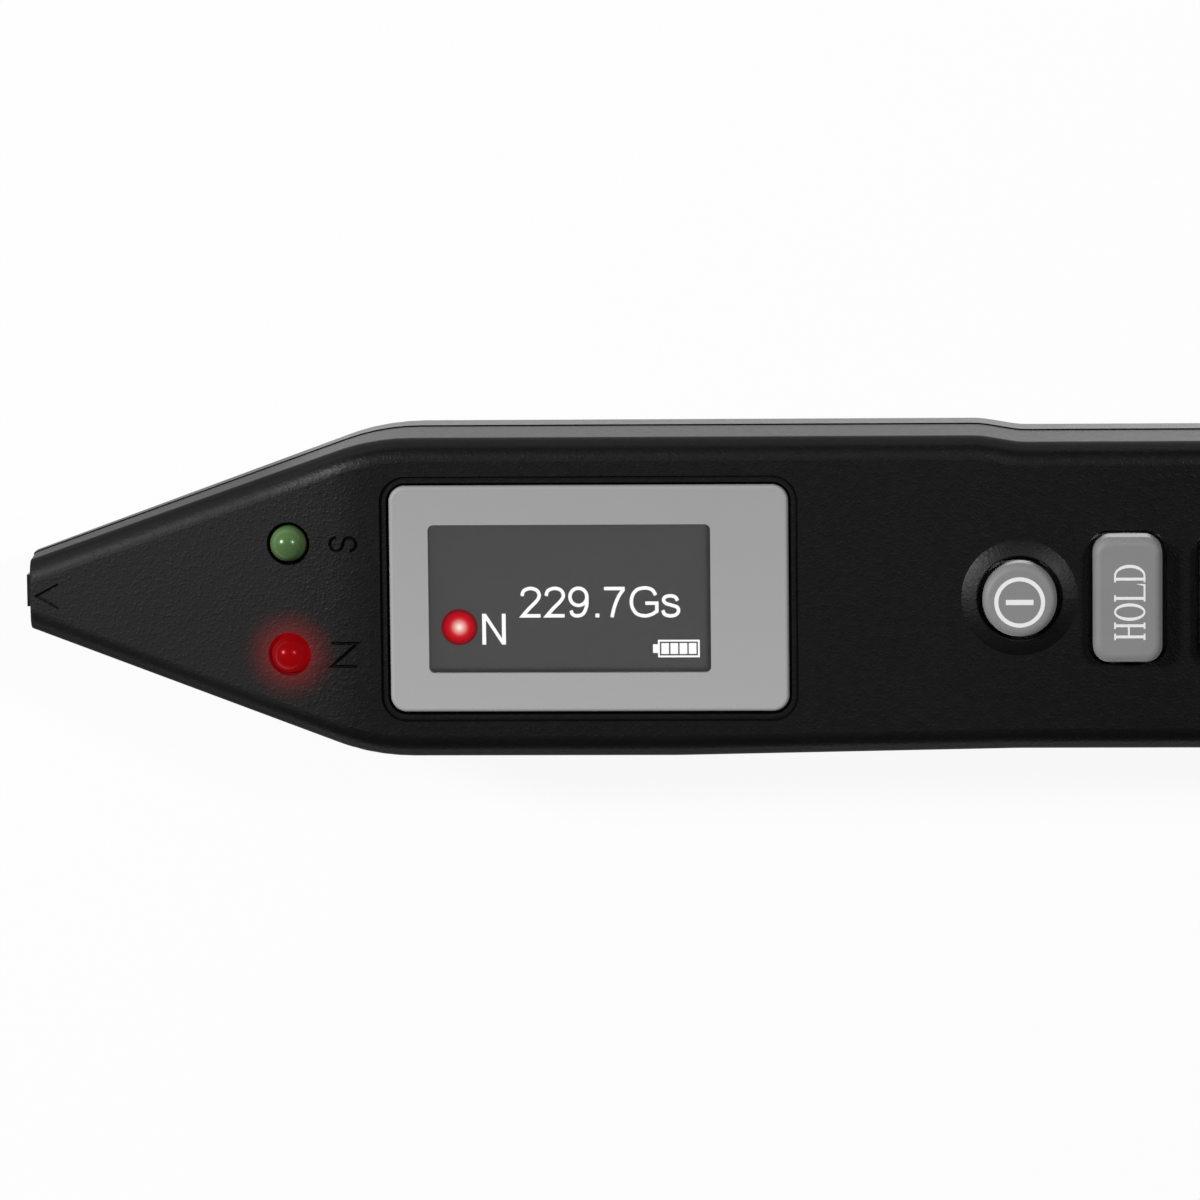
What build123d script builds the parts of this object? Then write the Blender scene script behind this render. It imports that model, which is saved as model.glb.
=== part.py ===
from build123d import *
import math
import os

# Pen-type magnetic field meter. X runs from the probe tip to the tail, Y across the face and
# Z up through the face. The origin lies under the middle of the part, on the plane that its
# flat back rests on. All sizes are in millimetres.

# Case walls and edges
wall = 1.55
roof = 1.8
floor = 1.8
top_edge_radius = 1.8
bottom_edge_radius = 2.6
tip_edge_radius = 0.25
edge_share = 0.8

# Plan outline of the case
head_step = 0.53
step_length = 3.1
step_radius = 8.0
taper_length = 27.3
taper_radius = 60.0
nose_angle = 19.65
shoulder_radius = 18.0
tail_corner_radius = 7.0

# Side outline of the case
nose_break_before_shoulder = 1.65
nose_top_angle = 6.8
nose_bottom_angle = 5.5
nose_blend_radius = 24.0
tip_lean = 4.6

# Seam between the two shells
seam_below_cell_axis = 0.75
seam_step = 0.1
seam_groove = 0.15
seam_groove_depth = 0.3
lip_width = 0.75
lip_height = 0.9
lip_clearance = 0.1

# AAA cells, their bay and contacts
cell_diameter = 10.5
cell_length = 44.5
nub_diameter = 3.8
nub_height = 0.8
cell_gap = 0.1
cell_side_clearance = 0.24
cell_above_door = 0.15
bay_clearance = 0.2
bay_roof = 0.9
bay_wall = 1.4
bay_fit = 0.15
contact_thickness = 0.4
contact_width = 7.0
contact_height = 8.0
contact_tab_width = 2.0
contact_tab_length = 3.6
contact_tab_inset = 1.06
contact_slot_clearance = 0.1
spring_length = 3.7
spring_wire = 0.6
spring_base_diameter = 7.4
spring_top_diameter = 5.2
spring_half_turns = 5
tail_space = 2.2

# Sliding battery door
door_thickness = 2.1
door_edge_inset = 0.2
door_flare = 0.8
door_clearance = 0.12
door_front_gap = 0.15
grip_count = 6
grip_pitch = 2.4
grip_length = 11.0
grip_width = 1.1
grip_depth = 0.4
grip_from_tail = 9.0

# Circuit board
board_thickness = 1.2
board_above_seam = 0.75
board_edge_gap = 0.7
board_hole_clearance = 0.3

# Keys and their switches
power_diameter = 5.92
power_from_bezel = 18.42
power_proud = 1.8
power_edge_radius = 0.6
power_spacing = 2.85
collar_diameter = 9.3
collar_height = 0.44
collar_lip = 0.12
collar_crest_slope = 13.0
key_length = 5.5
key_width = 10.02
key_corner = 1.35
key_proud = 2.0
key_edge_radius = 0.7
key_spacing = 3.05
key_gap = 0.4
key_flange_overlap = 0.6
key_flange = 1.0
key_post = 1.5
key_rest_gap = 0.1
key_travel = 0.5
key_to_bay = 4.3
switch_size = 6.0
switch_height = 3.5
switch_cover = 0.3
stem_diameter = 3.5
stem_reach = 0.8
stem_depth = 1.2
stem_clearance = 0.06
leg_length = 1.2
leg_width = 0.7
leg_thickness = 0.3
leg_spread = 4.5

# Display
bezel_from_shoulder = 1.36
bezel_length = 32.0
bezel_width = 18.26
bezel_corner = 1.3
bezel_thickness = 0.5
bezel_edge_radius = 0.3
bezel_sunk = 0.12
bezel_gap = 0.22
rebate_width = 0.53
rebate_depth = 0.25
window_length = 22.64
window_width = 11.95
window_corner = 0.45
window_from_bezel_end = 3.12
lens_thickness = 0.5
adhesive_thickness = 0.1
opening_margin = 0.4
gasket_thickness = 0.25
panel_length = 27.95
panel_width = 13.5
panel_thickness = 1.5
panel_before_window = 0.6
holder_wall = 0.9
holder_clearance = 0.1
holder_shelf = 1.2
holder_below_panel_top = 0.3
flex_width = 8.0
flex_thickness = 0.15
flex_reach = 3.2
flex_bend_radius = 1.5
flex_above_panel_bottom = 0.25
flex_slot_clearance = 0.2
connector_length = 4.0
connector_width = 10.0
connector_height = 1.4
connector_run = 3.6

# Indicator lamps
led_diameter = 2.9
led_length = 5.3
led_flange_rim = 0.4
led_flange_height = 1.0
led_centre_below_face = 0.15
led_from_bezel = 8.15
led_spread = 4.47
led_hole_gap = 0.29
lead_size = 0.45
lead_pitch = 2.54
lead_tail = 0.6
lead_hole_clearance = 0.12

# Moulded marks on the nose
mark_depth = 0.28
mark_line = 0.26
mark_height = 2.1
mark_width = 1.87
mark_from_led = 4.45
chevron_from_tip = 1.2
chevron_length = 1.75
chevron_half_width = 0.95

# Hall sensor and the insert in front of it
sensor_width = 2.8
sensor_height = 4.0
sensor_thickness = 1.5
sensor_side_clearance = 0.13
insert_width = 2.6
insert_height = 5.0
insert_clearance = 0.05
insert_proud = 0.15
insert_flange = 0.5
insert_flange_rim = 0.12
sensor_gap = 0.1
sensor_lead = 0.35
sensor_lead_pitch = 1.0
sensor_lead_drop = 0.5
board_after_sensor = 0.7
sensor_lead_overlap = 1.0

# Screws and their bosses
case_screw_diameter = 1.9
case_screw_head = 3.7
case_screw_head_height = 1.3
case_screw_length = 8.0
case_screw_seat = 3.6
screw_clearance = 0.05
head_clearance = 0.2
shank_clearance = 0.2
front_boss_radius = 2.3
rear_boss_radius = 2.9
boss_to_wall = 0.3
nose_boss_after_led = 5.15
nose_boss_spread = 6.4
board_screw_diameter = 1.6
board_screw_head = 3.3
board_screw_head_height = 1.1
board_screw_length = 5.0
board_boss_radius = 1.9
board_boss_spread = 8.2
board_boss_after_panel = 6.0
nose_board_boss_before_led = 4.4
boss_hole_end = 0.5
screw_head_edge = 0.4
cross_slot_width = 0.45
cross_slot_share = 0.62
cross_slot_depth = 0.7

# Chips under the board
controller_size = 7.0
controller_height = 1.4
controller_after_window = 10.0
amplifier_length = 5.0
amplifier_width = 4.0
amplifier_height = 1.5
amplifier_before_boss = 6.6
converter_length = 2.9
converter_width = 1.6
converter_height = 1.2
inductor_size = 4.0
inductor_height = 2.0
crystal_length = 5.0
crystal_width = 3.2
crystal_height = 1.1
chip_side_offset = 6.0
capacitor_length = 2.0
capacitor_width = 1.25
capacitor_height = 0.8
capacitor_count = 5
capacitor_pitch = 3.4

# Tail hook that holds the two shells together at the far end
hook_width = 8.0
hook_thickness = 1.1
hook_wall_gap = 0.1
hook_reach = 0.9
hook_tooth = 0.5
hook_tooth_height = 0.6
hook_root = 1.8
hook_clearance = 0.1

# Reach of the cutters, past the face that they cut or past the whole part, and the margin for
# picking edges
overcut = 0.2
far = 400.0
pick_margin = 0.1

# Widths worked out from the cells outwards
cell_offset = (cell_gap + cell_diameter) / 2
contact_tab_y = cell_offset - contact_tab_inset
handle_half = cell_gap / 2 + cell_diameter + cell_side_clearance + wall
head_half = handle_half + head_step
nose_slope = math.tan(math.radians(nose_angle))
nose_wall_gain = wall / math.cos(math.radians(nose_angle)) - wall * nose_slope
tip_half = sensor_width / 2 + sensor_side_clearance + nose_wall_gain
nose_length = (head_half - tip_half) / nose_slope

# Lengths worked out from the tip of the case to its tail
power_run = nose_length + bezel_from_shoulder + bezel_length + power_from_bezel
hold_run = power_run + power_diameter / 2 + power_spacing + key_length / 2
zero_run = hold_run + key_length + key_spacing
bay_run = zero_run + key_length / 2 + key_to_bay
bay_length = 2 * contact_thickness + cell_length + spring_length
case_length = bay_run + bay_wall + bay_length + bay_wall + tail_space + wall
overall_length = case_length + insert_proud + seam_step

# Places along X
tip_x = insert_proud - overall_length / 2
tail_x = tip_x + case_length
shoulder_x = tip_x + nose_length
nose_break_x = shoulder_x - nose_break_before_shoulder
bezel_x = shoulder_x + bezel_from_shoulder
bezel_middle_x = bezel_x + bezel_length / 2
window_x = bezel_x + window_from_bezel_end
window_middle_x = window_x + window_length / 2
panel_x = window_x - panel_before_window
panel_end_x = panel_x + panel_length
led_x = bezel_x - led_from_bezel
power_x = tip_x + power_run
hold_x = tip_x + hold_run
zero_x = tip_x + zero_run
bay_x = tip_x + bay_run
bay_inner_x = bay_x + bay_wall
bay_end_x = bay_inner_x + bay_length
front_plate_x = bay_inner_x + contact_thickness
tail_plate_x = bay_end_x - contact_thickness
flange_half = insert_width / 2 + insert_flange_rim
insert_seat_x = tip_x + wall
sensor_x = insert_seat_x + insert_flange + sensor_gap
board_x = sensor_x + sensor_thickness + board_after_sensor
handle_boss_x = bay_x - front_boss_radius - boss_to_wall
handle_boss_y = handle_half - wall - front_boss_radius - boss_to_wall
nose_boss_x = led_x + nose_boss_after_led
board_boss_x = panel_end_x + board_boss_after_panel
nose_board_boss_x = led_x - nose_board_boss_before_led
controller_x = window_x + controller_after_window
amplifier_x = nose_board_boss_x - amplifier_before_boss

# Heights worked out from the back upwards
cell_axis_z = door_thickness + cell_above_door + cell_diameter / 2
seam_z = cell_axis_z - seam_below_cell_axis
board_bottom_z = seam_z + board_above_seam
board_top_z = board_bottom_z + board_thickness
board_middle_z = (board_bottom_z + board_top_z) / 2
switch_top_z = board_top_z + switch_height
stem_top_z = switch_top_z + stem_reach
flange_bottom_z = stem_top_z + key_post
flange_top_z = flange_bottom_z + key_flange
ceiling_z = flange_top_z + key_rest_gap
face_z = ceiling_z + roof
bezel_top_z = face_z - bezel_sunk
bezel_bottom_z = bezel_top_z - bezel_thickness
lens_bottom_z = bezel_bottom_z - lens_thickness
pocket_z = lens_bottom_z - adhesive_thickness
panel_top_z = ceiling_z - gasket_thickness
panel_bottom_z = panel_top_z - panel_thickness
bay_roof_radius = cell_diameter / 2 + bay_clearance + bay_roof
bay_top_z = cell_axis_z + bay_roof_radius
rail_z = door_thickness + door_clearance

# Places of repeated pieces
led_places = [(led_x, led_spread), (led_x, -led_spread)]
case_screw_places = [
    (nose_boss_x, nose_boss_spread),
    (nose_boss_x, -nose_boss_spread),
    (handle_boss_x, handle_boss_y),
    (handle_boss_x, -handle_boss_y),
]
board_screw_places = [
    (board_boss_x, board_boss_spread),
    (board_boss_x, -board_boss_spread),
    (nose_board_boss_x, 0),
]
switch_places = [power_x, hold_x, zero_x]
key_places = [hold_x, zero_x]


def block(x_min, x_max, y_min, y_max, z_min, z_max):
    """Box between two corners."""
    middle = Pos((x_min + x_max) / 2, (y_min + y_max) / 2, (z_min + z_max) / 2)
    return middle * Box(x_max - x_min, y_max - y_min, z_max - z_min)


def post(x, y, z_min, z_max, radius):
    """Upright cylinder."""
    return Pos(x, y, (z_min + z_max) / 2) * Cylinder(radius, z_max - z_min)


def slab(x, length, width, corner, z_min, z_max):
    """Upright plate with rounded corners, centred on the long axis."""
    return extrude(Pos(x, 0, z_min) * RectangleRounded(length, width, corner), z_max - z_min)


def join(pieces):
    """Union of a list of solids."""
    whole = pieces[0]
    for piece in pieces[1:]:
        whole = whole + piece
    return whole


def plan_face():
    """Outline of the case seen from above."""
    step_x = power_x - step_length
    taper_x = power_x - taper_length
    outline = FilletPolyline(
        (tip_x, tip_half),
        (shoulder_x, head_half),
        (step_x, head_half),
        (power_x, handle_half),
        (tail_x, handle_half),
        (tail_x, -handle_half),
        (power_x, -handle_half),
        (taper_x, -head_half),
        (shoulder_x, -head_half),
        (tip_x, -tip_half),
        radius=[
            0,
            shoulder_radius,
            step_radius,
            step_radius,
            tail_corner_radius,
            tail_corner_radius,
            taper_radius,
            taper_radius,
            shoulder_radius,
            0,
        ],
        close=True,
    )
    return make_face(outline)


plan = plan_face()


def prism(inset, z_min, z_max):
    """Upright body with the case outline drawn in by an inset."""
    face = offset(plan, -inset)
    return extrude(Pos(0, 0, z_min) * face, z_max - z_min)


def nose_height(x, top_z):
    """Height of the sloping nose above the back, for a roof that is level at top_z."""
    return top_z - (nose_break_x - x) * math.tan(math.radians(nose_top_angle))


def side_prism(top_z, bottom_z):
    """Side outline of the case, swept across its width."""
    reach_x = tip_x - wall
    run = nose_break_x - reach_x
    tip_top = nose_height(reach_x, top_z)
    tip_bottom = bottom_z + run * math.tan(math.radians(nose_bottom_angle))
    back_x = tail_x + wall
    outline = FilletPolyline(
        (back_x, top_z),
        (nose_break_x, top_z),
        (reach_x, tip_top),
        (reach_x, tip_bottom),
        (nose_break_x, bottom_z),
        (back_x, bottom_z),
        radius=[0, nose_blend_radius, 0, 0, nose_blend_radius, 0],
        close=True,
    )
    return extrude(Plane.XZ * make_face(outline), head_half + wall, both=True)


def rim_edges(solid, z_min, z_max):
    """Edges that run along the case between two heights, without the ones across the tip."""
    picked = []
    for edge in solid.edges():
        middle = edge @ 0.5
        upright = abs((edge % 0.5).Z) > 0.5
        across = abs(middle.Y) < pick_margin and middle.X < tail_x - wall
        if not upright and not across and z_min < middle.Z < z_max:
            picked.append(edge)
    return picked


def tip_edges(solid):
    """Edges of the end face at the tip, without the one that lies in the seam."""
    limit = tip_x + (face_z - seam_z) * math.tan(math.radians(tip_lean)) + pick_margin
    picked = []
    for edge in solid.edges():
        box = edge.bounding_box()
        in_seam = max(abs(box.min.Z - seam_z), abs(box.max.Z - seam_z)) < pick_margin
        if box.max.X < limit and not in_seam:
            picked.append(edge)
    return picked


def front_body():
    """Upper half of the case, solid, with an end that leans back and with rounded edges."""
    body = extrude(Pos(0, 0, seam_z) * plan, face_z - seam_z) & side_prism(face_z, 0)
    lean = math.radians(tip_lean)
    end = Plane(origin=(tip_x, 0, seam_z), x_dir=(0, 1, 0), z_dir=(math.cos(lean), 0, -math.sin(lean)))
    body = split(body, bisect_by=end, keep=Keep.TOP)
    body = fillet(rim_edges(body, seam_z + pick_margin, far), top_edge_radius)
    return fillet(tip_edges(body), tip_edge_radius)


def rear_body():
    """Lower half of the case, solid, which stands out a little under the upper half."""
    outline = offset(plan, seam_step, kind=Kind.INTERSECTION)
    body = extrude(outline, seam_z) & side_prism(face_z, 0)
    back_radius = min(bottom_edge_radius, tip_half)
    body = fillet(rim_edges(body, -far, seam_z - pick_margin), back_radius)
    return fillet(tip_edges(body), tip_edge_radius)


front = front_body()
rear = rear_body()
cavity = prism(wall, floor, ceiling_z) & side_prism(ceiling_z, floor)


def stroke(points):
    """Moulded line of the marks' width, as an upright cutter."""
    line = trace(Polyline(*points), mark_line)
    return extrude(Pos(0, 0, seam_z) * line, face_z)


def letter_point(x, y, right, up):
    """Point of a letter that reads with the tip held upwards."""
    return (x - up * mark_height / 2, y + right * mark_width / 2)


def mark_n(x, y):
    """Letter N of the north-pole lamp."""
    corners = [(-1, -1), (-1, 1), (1, -1), (1, 1)]
    return stroke([letter_point(x, y, right, up) for right, up in corners])


def mark_s(x, y):
    """Letter S of the south-pole lamp, from two open bowls."""
    bowl = mark_height / 4
    upper = CenterArc((x - bowl, y), bowl, 0, -270)
    lower = CenterArc((x + bowl, y), bowl, 180, -270)
    line = trace(Curve([lower, upper]), mark_line)
    return extrude(Pos(0, 0, seam_z) * line, face_z)


def chevron():
    """Arrow head at the tip."""
    apex_x = tip_x + chevron_from_tip
    arm_x = apex_x + chevron_length
    return stroke([(arm_x, chevron_half_width), (apex_x, 0), (arm_x, -chevron_half_width)])


def moulded_marks():
    """All marks, cut to one depth under the sloping face."""
    mark_x = led_x + mark_from_led
    lines = chevron() + mark_n(mark_x, -led_spread) + mark_s(mark_x, led_spread)
    return lines - Pos(0, 0, -mark_depth) * front


def key_hole(x):
    """Opening in the front shell for a rectangular key."""
    corner = key_corner + key_gap
    return slab(x, key_length + 2 * key_gap, key_width + 2 * key_gap, corner, seam_z, far)


def power_collar():
    """Low rounded collar round the opening for the power key."""
    hole = power_diameter / 2 + key_gap
    foot = (collar_diameter / 2, 0)
    crest = (hole + collar_lip, collar_height)
    rim = (hole, collar_height - collar_lip)
    fall = math.radians(collar_crest_slope)
    slope = TangentArc(crest, foot, tangent=(math.cos(fall), -math.sin(fall)))
    lip = TangentArc(crest, rim, tangent=(-math.cos(fall), math.sin(fall)))
    base = Polyline(rim, (hole, -overcut), (collar_diameter / 2, -overcut), foot)
    profile = make_face([*slope.edges(), *lip.edges(), *base.edges()])
    section = Pos(power_x, 0, face_z) * (Plane.XZ * profile)
    return revolve(section, Axis((power_x, 0, 0), (0, 0, 1)))


def display_pocket():
    """Stepped pocket for the bezel, with the viewing opening through its floor."""
    pocket_length = bezel_length + 2 * bezel_gap
    pocket_width = bezel_width + 2 * bezel_gap
    corner = bezel_corner + bezel_gap
    pocket = slab(bezel_middle_x, pocket_length, pocket_width, corner, pocket_z, far)
    rim = 2 * rebate_width
    rebate = slab(
        bezel_middle_x,
        pocket_length + rim,
        pocket_width + rim,
        corner + rebate_width,
        face_z - rebate_depth,
        far,
    )
    opening = slab(
        window_middle_x,
        window_length + 2 * opening_margin,
        window_width + 2 * opening_margin,
        window_corner + opening_margin,
        seam_z,
        far,
    )
    return pocket + rebate + opening


def insert_slot():
    """Slot through the end wall of the tip."""
    half_width = insert_width / 2 + insert_clearance
    half_height = insert_height / 2 + insert_clearance
    low = board_middle_z - half_height
    high = board_middle_z + half_height
    return block(tip_x - wall, insert_seat_x + overcut, -half_width, half_width, low, high)


def hook_bridge():
    """Bridge that joins the tail hook to the end wall of the front shell."""
    back_x = tail_x - wall - hook_wall_gap - hook_thickness
    half = hook_width / 2
    low = seam_z + lip_height + lip_clearance
    return block(back_x, tail_x - wall / 2, -half, half, low, seam_z + lip_height + hook_root)


def hook(play):
    """Tail hook of the front shell, grown by a play for the notch that takes it."""
    face_x = tail_x - wall - hook_wall_gap
    back_x = face_x - hook_thickness
    half = hook_width / 2 + play
    low = seam_z - hook_reach - play
    high = seam_z + lip_height + hook_root
    tongue = block(back_x, face_x, -half, half, low, high)
    tooth_x = face_x + hook_wall_gap + hook_tooth + play
    tooth = block(back_x, tooth_x, -half, half, low, low + hook_tooth_height + 2 * play)
    return tongue + tooth


def front_case():
    """Upper shell: face, pocket, openings, bosses, marks and the tail hook."""
    case = front - cavity
    for x, y in case_screw_places:
        case = case + (post(x, y, seam_z, face_z, front_boss_radius) & front)
    for x, y in board_screw_places:
        case = case + (post(x, y, board_top_z, face_z, board_boss_radius) & front)
    rebate_top = seam_z + lip_height + lip_clearance
    inner = wall - lip_width - lip_clearance
    case = case - (prism(inner, seam_z, rebate_top) - prism(wall, seam_z, rebate_top))
    screw_radius = case_screw_diameter / 2 + screw_clearance
    screw_end = case_screw_seat + case_screw_length + boss_hole_end
    for x, y in case_screw_places:
        case = case - post(x, y, seam_z, screw_end, screw_radius)
    hole_radius = board_screw_diameter / 2 + screw_clearance
    hole_end = board_bottom_z + board_screw_length + boss_hole_end
    for x, y in board_screw_places:
        case = case - post(x, y, board_top_z, hole_end, hole_radius)
    for x, y in led_places:
        case = case - post(x, y, seam_z, face_z, led_diameter / 2 + led_hole_gap)
    case = case - display_pocket()
    case = case - post(power_x, 0, seam_z, face_z, power_diameter / 2 + key_gap) + power_collar()
    for x in key_places:
        case = case - key_hole(x)
    case = case - insert_slot() - moulded_marks()
    return case + hook_bridge() + hook(0)


def dovetail(play, x_min, x_max, z_max):
    """Flared channel along X, drawn in by a play for the door that slides in it."""
    flare = door_flare / rail_z
    mouth = handle_half - wall - door_edge_inset - play
    low = -floor
    outline = Polyline(
        (-(mouth + flare * low), low),
        (mouth + flare * low, low),
        (mouth + flare * z_max, z_max),
        (-(mouth + flare * z_max), z_max),
        close=True,
    )
    section = Plane.YZ * make_face(outline)
    return extrude(Pos(x_min, 0, 0) * section, x_max - x_min)


def bay_shell():
    """Cell bay: two end walls and a scalloped roof over the two cells."""
    depth = bay_end_x + bay_wall - bay_x
    middle = Pos((bay_x + bay_end_x + bay_wall) / 2, 0, cell_axis_z)
    lying = Rotation(0, 90, 0)
    hollow = []
    cover = []
    for side in (1, -1):
        place = middle * Pos(0, side * cell_offset, 0) * lying
        hollow.append(place * Cylinder(bay_roof_radius - bay_roof, depth))
        cover.append(place * Cylinder(bay_roof_radius, depth))
    above = block(bay_x, bay_end_x + bay_wall, -head_half, head_half, seam_z, bay_top_z)
    scallop = (join(cover) & above) - join(hollow)
    spans = [(bay_x, bay_inner_x), (bay_end_x, bay_end_x + bay_wall)]
    walls = [block(low, high, -head_half, head_half, seam_z, bay_top_z) for low, high in spans]
    upper = join([scallop, *walls]) & prism(wall + bay_fit, seam_z, bay_top_z)
    feet = [block(low, high, -head_half, head_half, floor / 2, seam_z) for low, high in spans]
    return upper + (join(feet) & prism(wall / 2, floor / 2, seam_z))


def contact_slots():
    """Slots in the front wall of the bay for the contact tabs."""
    play = contact_slot_clearance
    half = contact_tab_width / 2 + play
    slots = []
    for side in (1, -1):
        y = side * contact_tab_y
        low = board_top_z - play
        high = board_top_z + contact_thickness + play
        slots.append(block(bay_x - wall, bay_inner_x + play, y - half, y + half, low, high))
    return join(slots)


def rear_case():
    """Lower shell: back, screw wells, lip, cell bay and the door channel."""
    case = rear - cavity
    for x, y in case_screw_places:
        case = case + (post(x, y, 0, seam_z, rear_boss_radius) & rear)
    case = case + bay_shell()
    lip_inset = wall - lip_width
    lip_top = seam_z + lip_height
    lip_root = seam_z - lip_height
    lip = prism(lip_inset, lip_root, lip_top) - prism(wall, lip_root, lip_top)
    case = case + lip
    groove_floor = seam_z - seam_groove
    ring = prism(-wall, groove_floor, seam_z) - prism(seam_groove_depth, groove_floor, seam_z)
    case = case - ring
    well_radius = case_screw_head / 2 + head_clearance
    hole_radius = case_screw_diameter / 2 + shank_clearance
    for x, y in case_screw_places:
        case = case - post(x, y, -floor, case_screw_seat, well_radius)
        case = case - post(x, y, -floor, seam_z, hole_radius)
    case = case - dovetail(0, bay_inner_x, tail_x + wall, rail_z)
    case = case - contact_slots() - insert_slot()
    return case - hook(hook_clearance)


def battery_door():
    """Sliding door that closes the bay, with thumb grooves near the tail."""
    start = bay_inner_x + door_front_gap
    door = rear & dovetail(door_clearance, start, tail_x + wall, door_thickness)
    for index in range(grip_count):
        x = tail_x - grip_from_tail - index * grip_pitch
        groove = Pos(x, 0, -grip_depth) * Rotation(0, 0, 90) * SlotOverall(grip_length, grip_width)
        door = door - extrude(groove, 2 * grip_depth)
    return door


def tip_insert():
    """Plastic window at the very tip, with a flange behind the end wall."""
    half_height = insert_height / 2
    half_width = insert_width / 2
    low = board_middle_z - half_height
    high = board_middle_z + half_height
    nose = block(tip_x - insert_proud, insert_seat_x, -half_width, half_width, low, high)
    rim = insert_flange_rim
    flange = block(
        insert_seat_x,
        insert_seat_x + insert_flange,
        -flange_half,
        flange_half,
        low - rim,
        high + rim,
    )
    return nose + flange


def hall_sensor():
    """Sensor package that stands behind the insert."""
    half = sensor_width / 2
    low = board_middle_z - sensor_height / 2
    return block(
        sensor_x, sensor_x + sensor_thickness, -half, half, low, low + sensor_height
    )


def hall_sensor_leads():
    """Three leads that drop, run back and rise to the underside of the board."""
    start_x = sensor_x + sensor_thickness / 2
    low = board_middle_z - sensor_height / 2
    base = low - sensor_lead_drop
    end_x = board_x + sensor_lead_overlap
    half = sensor_lead / 2
    leads = []
    for index in (-1, 0, 1):
        y = index * sensor_lead_pitch
        drop = block(start_x - half, start_x + half, y - half, y + half, base - half, low)
        run = block(start_x, end_x + half, y - half, y + half, base - half, base + half)
        rise = block(end_x - half, end_x + half, y - half, y + half, base, board_bottom_z)
        leads.append(drop + run + rise)
    return leads


def led_height():
    """Height of the centre of a lamp's dome."""
    return nose_height(led_x, face_z) - led_centre_below_face


def led(x, y):
    """Domed lamp with its flange."""
    radius = led_diameter / 2
    dome_z = led_height()
    base_z = dome_z + radius - led_length
    flange = post(x, y, base_z, base_z + led_flange_height, radius + led_flange_rim)
    barrel = post(x, y, base_z, dome_z, radius)
    return flange + barrel + Pos(x, y, dome_z) * Sphere(radius)


def lead_places():
    """Plan places of the four lamp leads."""
    places = []
    for x, y in led_places:
        for side in (-1, 1):
            places.append((x + side * lead_pitch / 2, y))
    return places


def led_leads():
    """Lamp leads, through the spacer and the board."""
    base_z = led_height() + led_diameter / 2 - led_length
    half = lead_size / 2
    low = board_bottom_z - lead_tail
    return [block(x - half, x + half, y - half, y + half, low, base_z) for x, y in lead_places()]


def lead_holes(z_min, z_max):
    """Round holes for the lamp leads."""
    radius = lead_size / math.sqrt(2) + lead_hole_clearance
    return join([post(x, y, z_min, z_max, radius) for x, y in lead_places()])


def led_spacers():
    """Spacer under each lamp."""
    base_z = led_height() + led_diameter / 2 - led_length
    radius = led_diameter / 2 + led_flange_rim
    holes = lead_holes(board_top_z, base_z)
    return [post(x, y, board_top_z, base_z, radius) - holes for x, y in led_places]


def display_bezel():
    """Grey frame round the window, with softened upper edges."""
    frame = slab(
        bezel_middle_x, bezel_length, bezel_width, bezel_corner, bezel_bottom_z, bezel_top_z
    )
    top = frame.faces().sort_by(Axis.Z)[-1]
    frame = fillet(top.edges(), min(bezel_edge_radius, bezel_thickness * edge_share))
    window = slab(window_middle_x, window_length, window_width, window_corner, seam_z, far)
    return frame - window


def window_lens():
    """Clear plate under the bezel."""
    return slab(
        bezel_middle_x, bezel_length, bezel_width, bezel_corner, lens_bottom_z, bezel_bottom_z
    )


def bezel_adhesive():
    """Adhesive ring between the clear plate and the floor of the pocket."""
    ring = slab(
        bezel_middle_x, bezel_length, bezel_width, bezel_corner, pocket_z, lens_bottom_z
    )
    opening = slab(
        window_middle_x,
        window_length + 2 * opening_margin,
        window_width + 2 * opening_margin,
        window_corner + opening_margin,
        pocket_z,
        lens_bottom_z,
    )
    return ring - opening


def display_gasket():
    """Foam ring between the panel and the roof."""
    ring = slab(
        (panel_x + panel_end_x) / 2,
        panel_length,
        panel_width,
        window_corner,
        panel_top_z,
        ceiling_z,
    )
    opening = slab(
        window_middle_x,
        window_length + 2 * opening_margin,
        window_width + 2 * opening_margin,
        window_corner + opening_margin,
        panel_top_z,
        ceiling_z,
    )
    return ring - opening


def display_panel():
    """Colour display module."""
    half = panel_width / 2
    return block(panel_x, panel_end_x, -half, half, panel_bottom_z, panel_top_z)


def display_holder():
    """Tray that carries the panel on the board, open at one end for the flex."""
    rim = holder_clearance + holder_wall
    half = panel_width / 2
    top = panel_top_z - holder_below_panel_top
    tray = block(
        panel_x - rim, panel_end_x + rim, -half - rim, half + rim, board_top_z, top
    )
    play = holder_clearance
    seat = block(
        panel_x - play, panel_end_x + play, -half - play, half + play, panel_bottom_z, top
    )
    shelf = holder_shelf
    well = block(
        panel_x + shelf, panel_end_x - shelf, -half + shelf, half - shelf, board_top_z, top
    )
    flex_half = flex_width / 2 + flex_slot_clearance
    slot = block(
        panel_end_x - shelf,
        panel_end_x + rim,
        -flex_half,
        flex_half,
        panel_bottom_z - flex_slot_clearance,
        top,
    )
    return tray - seat - well - slot


def flex_heights():
    """Heights of the flex at the panel and at the connector."""
    return panel_bottom_z + flex_above_panel_bottom, board_top_z + connector_height / 2


def display_flex():
    """Flat flex that folds down from the panel to its connector."""
    upper, lower = flex_heights()
    bend_x = panel_end_x + flex_reach
    path = FilletPolyline(
        (panel_end_x, upper),
        (bend_x, upper),
        (bend_x, lower),
        (bend_x + connector_run, lower),
        radius=flex_bend_radius,
    )
    band = Plane.XZ * trace(path, flex_thickness)
    return extrude(band, flex_width / 2, both=True)


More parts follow.
